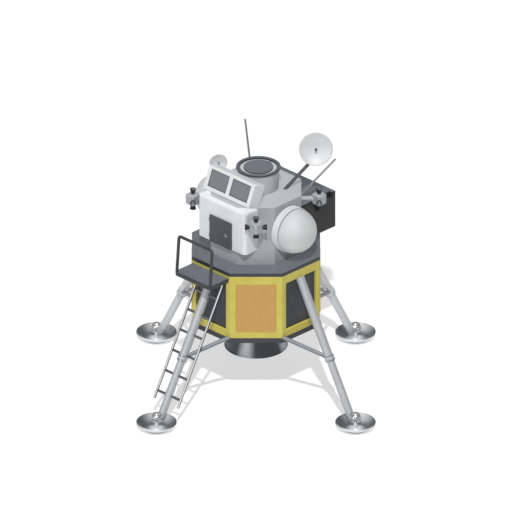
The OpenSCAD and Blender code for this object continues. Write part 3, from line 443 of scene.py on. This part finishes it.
def moulded_rubber():
    material, tree, skin, place = finish_named("moulded_seal_rubber")
    grain = add(tree, "ShaderNodeTexNoise", {"Scale": 1 / (5 * MM), "Detail": 3}, {"Vector": place})
    tone = add(tree, "ShaderNodeMix",
               {"data_type": "RGBA", MIX_A: linear("#54565a"), MIX_B: linear("#5e6064")},
               {0: grain.outputs["Fac"]})
    relief = add(tree, "ShaderNodeBump", {"Strength": 0.3, "Distance": 0.4 * MM},
                 {"Height": grain.outputs["Fac"]})
    tree.links.new(tone.outputs[MIX_COLOUR], skin.inputs["Base Color"])
    tree.links.new(relief.outputs["Normal"], skin.inputs["Normal"])
    skin.inputs["Roughness"].default_value = 0.7
    return material


window_glass = smoked_glass()
seal_rubber = moulded_rubber()
print("glass and rubber are ready")

# %% [markdown]
# ## Flat-sided pieces
# Sheet-metal frames, plates and panels already have their true shape, so they stay as they are. Real edges
# are never knife sharp: they are folded, filed or taped, and a thin bright line runs along them. A bevel
# could be cut into each mesh by hand, but a Bevel modifier that only works above 30 degrees does it in one
# line, after a Weld modifier has joined the triangles that meet at each edge.

# %% Soften and paint the flat-sided pieces
def softened(node, finish, edge_mm):
    piece = nodes[node]
    piece.data.materials.clear()
    piece.data.materials.append(finish)
    weld = piece.modifiers.new("weld", "WELD")
    weld.merge_threshold = 0.05 * MM
    edge = piece.modifiers.new("edge", "BEVEL")
    edge.width = edge_mm * MM
    edge.segments = 2
    edge.limit_method = "ANGLE"
    edge.angle_limit = math.radians(30)
    edge.harden_normals = True


LEGS = ("left", "rear", "right", "front")
CORNERS = ("rear_left", "rear_right", "front_right", "front_left")
soft_edges = {
    "descent_frame": (yellow_paint, 8), "base_plate": (charcoal_paint, 10), "top_deck": (deck_paint, 12),
    "window_housing": (housing_white, 4), "front_hatch": (hatch_paint, 10), "hatch_hinges": (hatch_paint, 4),
}
for leg in LEGS:
    soft_edges[leg + "_bay_panel"] = (bay_black, 5)
for node, (finish, edge_mm) in soft_edges.items():
    softened(node, finish, edge_mm)
print(len(soft_edges), "flat-sided pieces have soft edges")

# %% [markdown]
# ## Pieces that keep their shape
# Tubes and pins come from the mechanical model with enough sides already, and the cabin, the midsection and
# the equipment bay with their own rounded or folded edges, so these only need a finish.

# %% Paint the blocks, tubes and pins
plain_finishes = {
    "crew_cabin": white_paint, "equipment_bay": bay_paint, "midsection": mid_paint,
    "handrail": charcoal_paint, "engine_chamber": bell_alloy, "gimbal_ring": brushed_steel,
    "gimbal_posts": brushed_steel, "windows": window_glass,
    "hatch_handle": brushed_steel, "docking_tunnel": tunnel_paint, "docking_seat": seat_paint,
    "dish_mast": mast_paint, "dish_yoke": mast_paint, "radar_mast": grey_paint, "radar_yoke": grey_paint,
    "whip_antennas": whip_metal, "docking_lid": lid_paint,
}
for leg in LEGS:
    # The legs behind take the paler copy, painted light for the light they lack.
    tube = blasted_aluminium if leg in ("left", "front") else painted_light_aluminium
    plain_finishes[leg + "_strut_cylinder"] = tube
    plain_finishes[leg + "_strut_piston"] = tube
    plain_finishes[leg + "_braces"] = brace_aluminium
for node, finish in plain_finishes.items():
    nodes[node].data.materials.clear()
    nodes[node].data.materials.append(finish)
print(len(plain_finishes), "blocks, tubes and pins are finished")

# %% [markdown]
# ## A lathe
# Bowls, bells, domes and rings are all turned: one outline of radii and heights, swept round an axis. Two
# helpers cover them. One turns an outline, and one puts a finished mesh in the scene, shades it smooth up
# to a crease angle and makes it ride on a body of the model.

# %% Mesh helpers
def placed(name, shape, finish, body, crease=32):
    mesh = bpy.data.meshes.new(name)
    bmesh.ops.recalc_face_normals(shape, faces=shape.faces)
    shape.to_mesh(mesh)
    shape.free()
    mesh.materials.append(finish)
    mesh.shade_smooth()
    mesh.set_sharp_from_angle(angle=math.radians(crease))
    piece = bpy.data.objects.new(name, mesh)
    bpy.context.scene.collection.objects.link(piece)
    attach(piece, body)
    return piece


def turn_outline(shape, outline, seat=Matrix(), steps=96, closed=False):
    rings = []
    for radius, height in outline:
        count = steps if radius > 1e-6 else 1
        angles = [2 * math.pi * k / count for k in range(count)]
        rings.append([shape.verts.new(seat @ Vector((radius * math.cos(a), radius * math.sin(a), height)))
                      for a in angles])
    pairs = list(zip(rings, rings[1:] + rings[:1])) if closed else list(zip(rings, rings[1:]))
    for low, high in pairs:
        for k in range(steps):
            corners = [low[k % len(low)], low[(k + 1) % len(low)], high[(k + 1) % len(high)],
                       high[k % len(high)]]
            corners = [v for i, v in enumerate(corners) if v not in corners[:i]]
            if len(corners) > 2:
                shape.faces.new(corners)
    return shape


def arc(centre, radius, start, stop, count):
    return [(centre[0] + radius * math.cos(math.radians(start + (stop - start) * k / count)),
             centre[1] + radius * math.sin(math.radians(start + (stop - start) * k / count)))
            for k in range(count + 1)]


def spun(axis, degrees):
    return Matrix.Rotation(math.radians(degrees), 4, axis)


def moved(x, y, z):
    return Matrix.Translation((x, y, z))


print("lathe and placing helpers are ready")

# %% [markdown]
# ## Footpads
# Each pad is a wide dish pressed from thin sheet, with its edge rolled into a bead for stiffness, and a
# polished cap on a slim neck where the leg swivels, with a rubber seal round the cap's foot. Pressing
# leaves one smooth curve, so the pad is a single turned outline: flat sole, spherical side, bead, and back
# down inside.

# %% Footpads and their caps
PAD_REACH, PAD_RIM, PAD_SOLE, PAD_HIGH, PAD_WALL = 4.080, 0.590, 0.300, 0.260, 0.025
CAP_HIGH, CAP_R, CAP_DROP, NECK_R, SEAL_R = 0.370, 0.175, 0.056, 0.060, 0.014
bowl_z = (PAD_RIM ** 2 + PAD_HIGH ** 2 - PAD_SOLE ** 2) / (2 * PAD_HIGH)
bowl_r = math.hypot(PAD_SOLE, bowl_z)


def bowl_side(height, radius):
    return math.sqrt(radius ** 2 - (height - bowl_z) ** 2)


bead = 0.024
outside = [(bowl_side(z, bowl_r), z) for z in [k * 0.021 for k in range(11)]]
inside = [(bowl_side(z, bowl_r - PAD_WALL), z) for z in [0.205 - k * 0.02 for k in range(10)]]
pad_outline = [(0, 0), (PAD_SOLE - 0.02, 0)] + outside + arc((PAD_RIM - bead, PAD_HIGH - bead), bead, -40,
                                                             230, 10)
pad_outline += inside + [(0, PAD_WALL)]
cap_outline = [(NECK_R, CAP_HIGH - CAP_DROP), (CAP_R - 0.012, CAP_HIGH - 0.004)] + arc((0, CAP_HIGH), CAP_R,
                                                                                       6, 90, 24)
seal_outline = arc((CAP_R - SEAL_R, CAP_HIGH + 0.006), SEAL_R, 0, 330, 10)
neck_outline = [(0.10, PAD_WALL), (0.07, 0.035), (NECK_R, 0.06), (NECK_R, CAP_HIGH - 0.05)]
for number, leg in enumerate(LEGS):
    seat = spun("Z", 90 * number) @ moved(PAD_REACH, 0, 0)
    pad_metal = pressed_pad_metal(leg + "_pad_metal", seat.translation, "#5f6164", "#dfe1e3")
    pad = placed(leg + "_pad_bowl", turn_outline(bmesh.new(), pad_outline, seat, 96), pad_metal, "lander")
    cap = placed(leg + "_pad_ball", turn_outline(bmesh.new(), cap_outline, seat, 64), polished_aluminium,
                 "lander")
    neck = placed(leg + "_pad_neck", turn_outline(bmesh.new(), neck_outline, seat, 48), pad_metal, "lander")
    seal = placed(leg + "_pad_seal", turn_outline(bmesh.new(), seal_outline, seat, 64, True), seal_rubber,
                  "lander")
    for piece in (pad, cap, neck, seal):
        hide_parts(leg + "_footpad")
print("pads:", 2 * PAD_RIM, "m across,", PAD_HIGH, "m high")

# %% [markdown]
# ## Leg fittings
# A leg is a cylinder with a piston in it. The cylinder's lower end carries a collar that the side braces
# bolt to, and a wiper ring keeps dust off the piston. The rings are small turned bands placed along the
# leg's axis.

# %% Collar bands and wiper rings
LEAN = 28.9
LEG_FOOT = (PAD_REACH - 0.184, 0, 0.328)
COLLAR_AT = 1.598 / math.cos(math.radians(LEAN))
COLLAR_HALF = 0.080


def leg_seat(number, along=0.0):
    return spun("Z", 90 * number) @ moved(*LEG_FOOT) @ spun("Y", -LEAN) @ moved(0, 0, along)


def band(inner, outer, low, high, round_off=0.004):
    return [(inner, low), (outer - round_off, low), (outer, low + round_off), (outer, high - round_off),
            (outer - round_off, high), (inner, high)]


for number, leg in enumerate(LEGS):
    wiper = turn_outline(bmesh.new(), band(0.116, 0.126, -0.018, -0.001),
                         leg_seat(number, COLLAR_AT - COLLAR_HALF), 64, True)
    placed(leg + "_wiper_ring", wiper, brushed_steel, "lander")
    bands = bmesh.new()
    for height in (-COLLAR_HALF + 0.004, COLLAR_HALF - 0.026):
        turn_outline(bands, band(0.149, 0.155, height, height + 0.022), leg_seat(number, COLLAR_AT), 64, True)
    placed(leg + "_collar_bands", bands, brushed_steel, "lander")
collar_height = LEG_FOOT[2] + COLLAR_AT * math.cos(math.radians(LEAN))
print("leg fittings: collar at", round(collar_height, 3), "m above the ground")

# %% [markdown]
# ## Foil panels
# Foil taped over a board is tight at its edges and gently quilted between them. A grid over the panel's
# face is pushed in by a few millimetres with layered sine ripples of unequal lengths, and the push fades to
# nothing at the edges, where the tape holds it. The same sum gives the same panel on every run.

# %% Foil panels
APOTHEM, FOIL_PROUD, FRAME_WALL = 1.850, 0.022, 0.130
foil_low, foil_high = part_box("front_left_foil_panel")
PANEL_LOW, PANEL_HIGH = foil_low.z, foil_high.z
FOIL_W = 2 * APOTHEM * math.tan(math.radians(22.5)) - 2 * 0.181


def quilt(across, up, seed):
    waves = ((7.1, 3.3), (-4.7, 8.9), (12.9, -6.1), (3.9, 15.7), (-17.3, 9.1))
    return sum(math.sin(a * across + b * up + seed * (k + 1.7)) / (k + 1.6) for k,
               (a, b) in enumerate(waves)) / 2.2


def foil_panel(seat, seed, columns=44, rows=56, depth=0.007):
    shape = bmesh.new()
    grid = []
    for j in range(rows + 1):
        v = j / rows
        line = []
        for i in range(columns + 1):
            u = i / columns
            hold = min(1.0, 6 * min(u, 1 - u), 6 * min(v, 1 - v))
            push = depth * hold * (0.5 + 0.5 * quilt(u * FOIL_W * 2, v * 2, seed))
            edge = 0.006 if i in (0, columns) or j in (0, rows) else 0.0
            spot = Vector((APOTHEM + FOIL_PROUD - 0.001 - push - edge, (u - 0.5) * FOIL_W,
                           PANEL_LOW + v * (PANEL_HIGH - PANEL_LOW)))
            line.append(shape.verts.new(seat @ spot))
        grid.append(line)
    for j in range(rows):
        for i in range(columns):
            shape.faces.new((grid[j][i], grid[j][i + 1], grid[j + 1][i + 1], grid[j + 1][i]))
    back = bmesh.ops.extrude_edge_only(shape, edges=[e for e in shape.edges if e.is_boundary])
    inward = seat.to_3x3() @ Vector((FRAME_WALL * -0.8, 0, 0))
    bmesh.ops.translate(shape, vec=inward,
                        verts=[v for v in back["geom"] if isinstance(v, bmesh.types.BMVert)])
    bmesh.ops.contextual_create(shape, geom=[e for e in shape.edges if e.is_boundary])
    return shape


for number, corner in enumerate(CORNERS):
    panel = placed(corner + "_foil", foil_panel(spun("Z", 45 + 90 * number), number + 0.4), amber_foil,
                   "lander", 60)
    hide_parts(corner + "_foil_panel")
print("foil panels:", round(FOIL_W, 3), "by", round(PANEL_HIGH - PANEL_LOW, 3), "m")

# %% [markdown]
# ## Side tanks
# The two propellant tanks bulge out of the midsection: a short drum under a wrapped blanket, then a spun
# dome. The drum's edge is taped round, and the dome stands off it by a dark rubber seam, a dark band put
# in as painted shadow for the gap between them.

# %% Side tanks
MID_APOTHEM, TANK_HIGH = 1.310, 5.555
drum_outline = [(0, 0), (0.665, 0), (0.688, 0.012), (0.684, 0.205)] + arc((0.664, 0.205), 0.020, 0, 90, 6)
drum_outline.append((0, 0.225))
shadow_seam_outline = [(0.60, 0.224), (0.650, 0.226), (0.650, 0.252), (0.60, 0.254)]
DOME_R, DOME_AT = 0.662, 0.255
dome_outline = [(0, DOME_AT - 0.002), (DOME_R - 0.006, DOME_AT - 0.002)] + arc((0, DOME_AT), DOME_R, 0, 88,
                                                                               22)
dome_outline.append((0, DOME_AT + DOME_R))
for name, side in (("left", 1), ("right", -1)):
    seat = moved(side * MID_APOTHEM, 0, TANK_HIGH) @ spun("Y", 90 * side)
    drum = placed(name + "_tank_drum", turn_outline(bmesh.new(), drum_outline, seat, 128), drum_white,
                  "lander", 40)
    shell = placed(name + "_tank_dome", turn_outline(bmesh.new(), dome_outline, seat, 128), tank_white,
                   "lander", 40)
    # The seam is a dark band of painted shadow in the gap between drum and dome.
    shadow_seam = placed(name + "_tank_seam", turn_outline(bmesh.new(), shadow_seam_outline, seat, 128, True), seal_rubber,
                  "lander", 40)
    for piece in (drum, shell, shadow_seam):
        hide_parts(name + "_tank")
print("tanks reach", round(MID_APOTHEM + DOME_AT + DOME_R, 3), "m out from the middle")

# %% [markdown]
# ## Descent engine bell
# The bell is spun from sheet that gets thinner towards its mouth, with one hoop brazed round it near the
# mouth. Its curve opens fast at the throat and straightens towards the mouth, which a power of the distance
# gives.

# %% Engine bell
BELL_TOP, BELL_MOUTH_Z, THROAT_R, BELL_MOUTH_R, BELL_WALL = 2.730, 1.290, 0.210, 0.920, 0.025


def bell_radius(share):
    return THROAT_R + (BELL_MOUTH_R - THROAT_R) * share ** 0.72


def bell_height(share):
    return BELL_TOP - (BELL_TOP - BELL_MOUTH_Z) * share


shares = [k / 40 for k in range(41)]
bell_outline = [(bell_radius(s) - 0.006, bell_height(s)) for s in shares]
bell_outline += [(BELL_MOUTH_R, BELL_MOUTH_Z + 0.012), (BELL_MOUTH_R, BELL_MOUTH_Z)]
bell_outline += [(bell_radius(s) - BELL_WALL, bell_height(s)) for s in reversed(shares)]
bell = placed("spun_engine_bell", turn_outline(bmesh.new(), bell_outline, Matrix(), 128, True), spun_bell,
              "engine", 40)
HOOP_SHARE, HOOP_R = 0.97, 0.011
hoop_outline = arc((bell_radius(HOOP_SHARE) - 0.004, bell_height(HOOP_SHARE)), HOOP_R, 0, 330, 10)
hoop = placed("engine_bell_hoops", turn_outline(bmesh.new(), hoop_outline, Matrix(), 128, True), spun_bell,
              "engine")
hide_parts("engine_bell")
print("bell mouth:", 2 * BELL_MOUTH_R, "m across")

# %% [markdown]
# ## Ladder
# The ladder is two polished rails with six rungs, laid over the front leg. Each rung is a flattened tube
# with a pale ribbed tread on top for a boot. The leg passes between the two halves of a rung, so the gap
# there follows the leg's piston, collar or cylinder. Rails, rungs and treads are one mesh each, so the
# ladder stays three light pieces.

# %% Ladder rails, rungs and treads
RAIL_HALF, RAIL_R, RUNG_R, RUNG_PITCH, RUNG_START, RUNGS = 0.480, 0.040, 0.040, 0.630, 0.245, 6
PISTON_GAP, COLLAR_GAP, CYLINDER_GAP, COLLAR_ROOM = 0.118, 0.152, 0.132, 0.14
LADDER_FOOT_Z = 0.700
FRONT = LEGS.index("front")
along_start = (LADDER_FOOT_Z - LEG_FOOT[2]) / math.cos(math.radians(LEAN))
bay_face = APOTHEM - 0.070
along_end = (LEG_FOOT[0] - bay_face) / math.sin(math.radians(LEAN)) - 0.06


def bar(shape, seat, outline, length):
    """An outline of (x, z) points run along Y, centred, with closed ends."""
    ends = [[shape.verts.new(seat @ Vector((x, y, z))) for x, z in outline] for y in (-length / 2,
                                                                                      length / 2)]
    count = len(outline)
    for k in range(count):
        shape.faces.new((ends[0][k], ends[0][(k + 1) % count], ends[1][(k + 1) % count], ends[1][k]))
    shape.faces.new(ends[0][::-1])
    shape.faces.new(ends[1])
    return shape


rails = bmesh.new()
for side in (-1, 1):
    rail = [(0, along_start), (RAIL_R - 0.012, along_start), (RAIL_R, along_start + 0.012),
            (RAIL_R, along_end - 0.01), (0, along_end - 0.01)]
    turn_outline(rails, rail, leg_seat(FRONT) @ moved(0, side * RAIL_HALF, 0), 40)
rungs, treads = bmesh.new(), bmesh.new()
rung_turns = [2 * math.pi * k / 24 for k in range(24)]
rung_outline = [(RUNG_R * math.cos(t), 0.9 * RUNG_R * math.sin(t)) for t in rung_turns]
tread_outline = [(-0.028, 0.024), (0.028, 0.024), (0.022, 0.0355), (-0.022, 0.0355)]
rib_outline = [(-0.021, 0.035), (0.021, 0.035), (0.014, 0.0385), (-0.014, 0.0385)]
for number in range(RUNGS):
    along = along_start + RUNG_START + number * RUNG_PITCH
    level = leg_seat(FRONT, along) @ spun("Y", LEAN)
    gap = PISTON_GAP if along <= COLLAR_AT - COLLAR_ROOM else COLLAR_GAP
    if along > COLLAR_AT + COLLAR_ROOM:
        gap = CYLINDER_GAP
    half_length = RAIL_HALF - 0.02 - gap
    for side in (-1, 1):
        here = level @ moved(0, side * (gap + half_length / 2), 0)
        bar(rungs, here, rung_outline, half_length)
        bar(treads, here, tread_outline, half_length - 0.05)
        for rib in range(9):
            bar(treads, here @ moved(0, (rib - 4) * (half_length - 0.07) / 8, 0), rib_outline, 0.008)
rails = placed("ladder_rails", rails, rail_chrome, "lander", 50)
rungs = placed("ladder_rungs", rungs, rung_steel, "lander")
treads = placed("ladder_treads", treads, brushed_steel, "lander")
for piece in (rails, rungs, treads):
    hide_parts("ladder")
print("rungs every", RUNG_PITCH, "m between rails", 2 * RAIL_HALF, "m apart")

# %% [markdown]
# ## Platform
# The platform in front of the hatch is a flat tray with rounded outer corners and a dark edging strip that
# stops boots. It is drawn as an outline seen from above, lifted to its thickness, with a second outline
# round it for the strip.

# %% Platform and edging
PLATFORM_W, PLATFORM_LEN, CORNER_R = 1.450, 0.760, 0.055
platform_low, platform_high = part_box("platform")


def slab(shape, outline, low, high, seat=Matrix()):
    """An outline of (x, y) points lifted from low to high, closed."""
    rings = [[shape.verts.new(seat @ Vector((x, y, z))) for x, y in outline] for z in (low, high)]
    count = len(outline)
    for k in range(count):
        shape.faces.new((rings[0][k], rings[0][(k + 1) % count], rings[1][(k + 1) % count], rings[1][k]))
    shape.faces.new(rings[0][::-1])
    shape.faces.new(rings[1])
    return shape


def tray_outline(inset):
    x, front, back = PLATFORM_W / 2 - inset, -APOTHEM - PLATFORM_LEN + inset, -APOTHEM
    r = CORNER_R - inset * 0.5
    outline = [(x, back), (-x, back)] + arc((-x + r, front + r), r, 180, 270, 8)
    outline += arc((x - r, front + r), r, 270, 360, 8)
    return outline[::-1]


tray = slab(bmesh.new(), tray_outline(0.014), platform_low.z + 0.004, platform_high.z - 0.003)
bmesh.ops.bevel(tray, geom=tray.edges[:], offset=0.004, segments=2, affect="EDGES", clamp_overlap=True)
tray = placed("platform_tray", tray, slate_paint, "lander")
edging = bmesh.new()
outer, inner = tray_outline(0.0), tray_outline(0.018)
low_z, high_z = platform_low.z, platform_high.z
loops = [[edging.verts.new((x, y, z)) for x, y in ring]
         for ring, z in ((outer, low_z + 0.008), (outer, high_z - 0.008), (tray_outline(0.004), high_z),
                         (inner, high_z), (inner, low_z), (tray_outline(0.004), low_z))]
for a, b in zip(loops, loops[1:] + loops[:1]):
    for k in range(len(a)):
        edging.faces.new((a[k], a[(k + 1) % len(a)], b[(k + 1) % len(a)], b[k]))
edging = placed("platform_edging", edging, charcoal_paint, "lander")
for piece in (tray, edging):
    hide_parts("platform")
print("platform:", PLATFORM_W, "by", PLATFORM_LEN, "m")

# %% [markdown]
# ## Thruster quads
# Four clusters of small rocket nozzles steer the ascent stage. Each cluster is a blanket-covered box on an
# arm, with a cone up, a cone down and one to each side. A cone is a thin spun horn that is dark outside and
# paler inside. The arm starts on the midsection's wall with a small flange. Boxes with cut corners are easy
# to make as a cube whose edges are bevelled widely.

# %% Thruster quads
QUAD_REACH, QUAD_HIGH, QUAD_HALF, ARM_R = 1.830, 6.030, 0.165, 0.080
NOZZLE_ROOT, NOZZLE_MOUTH, ROOT_R, MOUTH_R, HORN_WALL = 0.160, 0.325, 0.052, 0.092, 0.006
horn_out = [(ROOT_R, NOZZLE_ROOT), (ROOT_R + 0.004, NOZZLE_ROOT + 0.010),
            (ROOT_R + 0.004, NOZZLE_ROOT + 0.018)]
horn_out += [(ROOT_R + (MOUTH_R - ROOT_R) * (k / 8) ** 0.8,
              NOZZLE_ROOT + 0.02 + (NOZZLE_MOUTH - NOZZLE_ROOT - 0.02) * k / 8) for k in range(9)]
horn_rim = [(MOUTH_R, NOZZLE_MOUTH), (MOUTH_R - HORN_WALL, NOZZLE_MOUTH)]
horn_in = [(ROOT_R - HORN_WALL * 2 + (MOUTH_R - ROOT_R + HORN_WALL) * (k / 8) ** 0.8,
            NOZZLE_ROOT + 0.03 + (NOZZLE_MOUTH - NOZZLE_ROOT - 0.03) * k / 8) for k in range(8, -1, -1)]
arm_start, arm_end = MID_APOTHEM + 0.002, QUAD_REACH - QUAD_HALF * 0.9
flange_r = ARM_R + 0.02
arm_outline = [(0, arm_start), (flange_r, arm_start), (flange_r, arm_start + 0.018),
               (ARM_R, arm_start + 0.024),
               (ARM_R, arm_end), (0, arm_end)]
for number, corner in enumerate(CORNERS):
    outward = spun("Z", 45 + 90 * number)
    centre = outward @ moved(QUAD_REACH, 0, QUAD_HIGH)
    block = bmesh.new()
    bmesh.ops.create_cube(block, size=2 * QUAD_HALF, matrix=centre @ spun("Z", 45))
    bmesh.ops.bevel(block, geom=block.edges[:], offset=0.035, segments=1, affect="EDGES")
    bmesh.ops.bevel(block, geom=block.edges[:], offset=0.005, segments=2, affect="EDGES")
    block = placed(corner + "_quad_block", block, quad_paint, "lander", 40)
    arm_seat = outward @ moved(0, 0, QUAD_HIGH) @ spun("Y", 90)
    arm = placed(corner + "_quad_arm", turn_outline(bmesh.new(), arm_outline, arm_seat, 48), quad_paint,
                 "lander")
    horns, linings = bmesh.new(), bmesh.new()
    for degrees in (0, 180, 90, -90):
        seat = centre @ spun("X", degrees)
        turn_outline(horns, horn_out + horn_rim, seat, 48)
        turn_outline(linings, horn_rim[1:] + horn_in + [(0, NOZZLE_ROOT + 0.026)], seat, 48)
    horns = placed(corner + "_thruster_cones", horns, nozzle_alloy, "lander", 40)
    linings = placed(corner + "_thruster_linings", linings, brace_aluminium, "lander", 40)
    for piece in (block, arm, horns, linings):
        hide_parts(corner + "_thrusters")
print("quads reach", QUAD_REACH, "m out, mouths", 2 * MOUTH_R, "m wide")

# %% [markdown]
# ## Window frames
# Each pane sits in a dark moulded seal with rounded inner corners. The frame follows the pane's box on the
# sloping face, so it is drawn flat in the slope's own axes and tilted into place.

# %% Window frames
SLOPE, ROOF = 22.4, 6.395
HOUSING_FRONT = (-1.232, ROOF + 0.101)
WINDOW_W, WINDOW_H, WINDOW_GAP, FACE_LEN = 0.730, 0.520, 0.142, 0.721
slope_seat = moved(0, *HOUSING_FRONT) @ spun("X", 90 - SLOPE)


def rounded_box(half_w, half_h, radius, per_corner=5):
    corners = ((half_w, half_h, 0), (-half_w, half_h, 90), (-half_w, -half_h, 180), (half_w, -half_h, 270))
    return [(x - math.copysign(radius, x) + radius * math.cos(math.radians(start + 90 * k / per_corner)),
             y - math.copysign(radius, y) + radius * math.sin(math.radians(start + 90 * k / per_corner)))
            for x, y, start in corners for k in range(per_corner + 1)]


frames = bmesh.new()
seal_rings = ((0, 0.004, -0.008), (0, 0.004, 0.0), (0.004, 0.004, 0.0015), (0.026, 0.012, 0.0015),
              (0.032, 0.014, -0.0075))
for side in (-1, 1):
    seat = slope_seat @ moved(side * (WINDOW_W + WINDOW_GAP) / 2, FACE_LEN / 2 + 0.005, 0)
    loops = [[frames.verts.new(seat @ Vector((x, y, depth)))
              for x, y in rounded_box(WINDOW_W / 2 - inset, WINDOW_H / 2 - inset, radius)]
             for inset, radius, depth in seal_rings]
    for a, b in zip(loops, loops[1:]):
        for k in range(len(a)):
            frames.faces.new((a[k], a[(k + 1) % len(a)], b[(k + 1) % len(a)], b[k]))
frames = placed("window_seals", frames, seal_rubber, "lander", 40)
print("window seals:", WINDOW_W, "by", WINDOW_H, "m")

# %% [markdown]
# ## Docking port
# The tunnel ends in a heavy machined ring that another craft latches to, with a round lid inside it. A
# machined ring is a turned outline with small chamfers, and a shallow step inside its lip makes it look
# heavy.

# %% Docking ring
TUNNEL_Y, RING_R, RING_BORE, RING_LOW, RING_HIGH = 0.100, 0.650, 0.540, 7.000, 7.060
port = moved(0, TUNNEL_Y, 0)
ring_outline = [(RING_BORE, RING_LOW + 0.004), (RING_R - 0.02, RING_LOW + 0.001), (RING_R, RING_LOW + 0.014),
                (RING_R, RING_HIGH - 0.012), (RING_R - 0.012, RING_HIGH), (RING_BORE + 0.035, RING_HIGH),
                (RING_BORE + 0.030, RING_HIGH - 0.006), (RING_BORE + 0.006, RING_HIGH - 0.006),
                (RING_BORE, RING_HIGH - 0.012)]
ring = placed("machined_docking_ring", turn_outline(bmesh.new(), ring_outline, port, 128, True), ring_paint,
              "lander")
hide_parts("docking_ring")
print("docking ring:", 2 * RING_R, "m across")

# %% [markdown]
# ## Dishes
# Each dish is a thin spun shell with its edge rolled into a bead, a feed on a stalk at its focus, and a
# boss behind it that holds the cross pin. The shell is turned about the dish's own axis and then aimed with
# its joint's body.

# %% Dishes
def dish_pieces(name, body, pivot, turn, rise, radius, depth, hub, fork, shell_finish, feed_finish):
    aim = moved(*pivot) @ spun("Z", turn) @ spun("Y", 90 - rise)
    curve = (radius ** 2 + depth ** 2) / (2 * depth)
    roll = 0.011

    def sag(r):
        return curve - math.sqrt(curve ** 2 - r ** 2)

    steps = [k / 24 * (radius - roll) for k in range(25)]
    front = [(r, hub + sag(r) + 0.013) for r in steps]
    front[-1] = (radius - 2 * roll, hub + depth - roll)
    rim = arc((radius - roll, hub + depth - roll), roll, 150, -110, 10)
    back = [(r, hub + sag(r) + 0.001) for r in reversed(steps[:-1])]
    back[-1] = (0, hub + 0.001)
    shell = placed(name + "_shell", turn_outline(bmesh.new(), front + rim + back, aim, 128), shell_finish,
                   body, 50)
    boss_r, boss_w = 0.26 * fork, 0.8 * fork
    boss = turn_outline(bmesh.new(),
                        [(0, 0.12 * fork), (boss_r * 0.8, 0.12 * fork), (boss_r * 0.8, hub - 0.02),
                                      (boss_r * 1.5, hub + sag(boss_r * 1.5)), (0, hub + 0.004)], aim, 48)
    turn_outline(boss, band(0.1205 * fork, boss_r, -boss_w / 2, boss_w / 2, 0.003), aim @ spun("X", 90), 48,
                 True)
    boss = placed(name + "_boss", boss, shell_finish, body, 40)
    stalk, tip = 0.1 * fork, hub + depth + 0.35 * fork
    feed_outline = [(0, hub + 0.01), (stalk * 1.6, hub + 0.012), (stalk, hub + 0.03), (stalk, tip),
                    (boss_r - 0.004, tip + 0.002), (boss_r, tip + 0.008), (boss_r, tip + 0.42 * fork),
                    (boss_r - 0.006, tip + 0.44 * fork), (0, tip + 0.44 * fork)]
    feed = turn_outline(bmesh.new(), feed_outline, aim, 40)
    feed = placed(name + "_feed", feed, feed_finish, body, 40)
    for piece in (shell, boss, feed):
        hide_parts(name)
    print(name, "is", 2 * radius, "m across and", round(depth / radius, 2), "as deep as its radius")


dish_pieces("dish", "dish", (1.160, 1.301, 7.620), -45, 20, radius=0.493, depth=0.110, hub=0.140, fork=0.150,
            shell_finish=dish_metal, feed_finish=charcoal_paint)
dish_pieces("radar_dish", "radar_dish", (-1.218, -0.358, 6.957), -36, 4, radius=0.268, depth=0.060, hub=0.090,
            fork=0.100, shell_finish=radar_metal, feed_finish=brace_aluminium)

# %% [markdown]
# ## Floor
# A plain pale floor catches the shadow. It is scenery, not part of the lander.

# %% Floor
FLOOR_HALF = 90
floor_corners = [(x * FLOOR_HALF, y * FLOOR_HALF, 0) for x, y in ((-1, -1), (1, -1), (1, 1), (-1, 1))]
floor_mesh = bpy.data.meshes.new("studio_floor")
floor_mesh.from_pydata(floor_corners, [], [(0, 1, 2, 3)])
floor = bpy.data.objects.new("studio_floor", floor_mesh)
bpy.context.scene.collection.objects.link(floor)
floor_finish, tree, skin, place = finish_named("matte_studio_floor")
speck = add(tree, "ShaderNodeTexNoise", {"Scale": 1 / (600 * MM), "Detail": 2}, {"Vector": place})
floor_tone = add(tree, "ShaderNodeMix",
                 {"data_type": "RGBA", MIX_A: (0.93, 0.93, 0.93, 1), MIX_B: (0.94, 0.94, 0.94, 1)},
                 {0: speck.outputs["Fac"]})
tree.links.new(floor_tone.outputs[MIX_COLOUR], skin.inputs["Base Color"])
skin.inputs["Roughness"].default_value = 0.9
skin.inputs["Specular IOR Level"].default_value = 0.2
floor_mesh.materials.append(floor_finish)
print("floor is", 2 * FLOOR_HALF, "m wide")
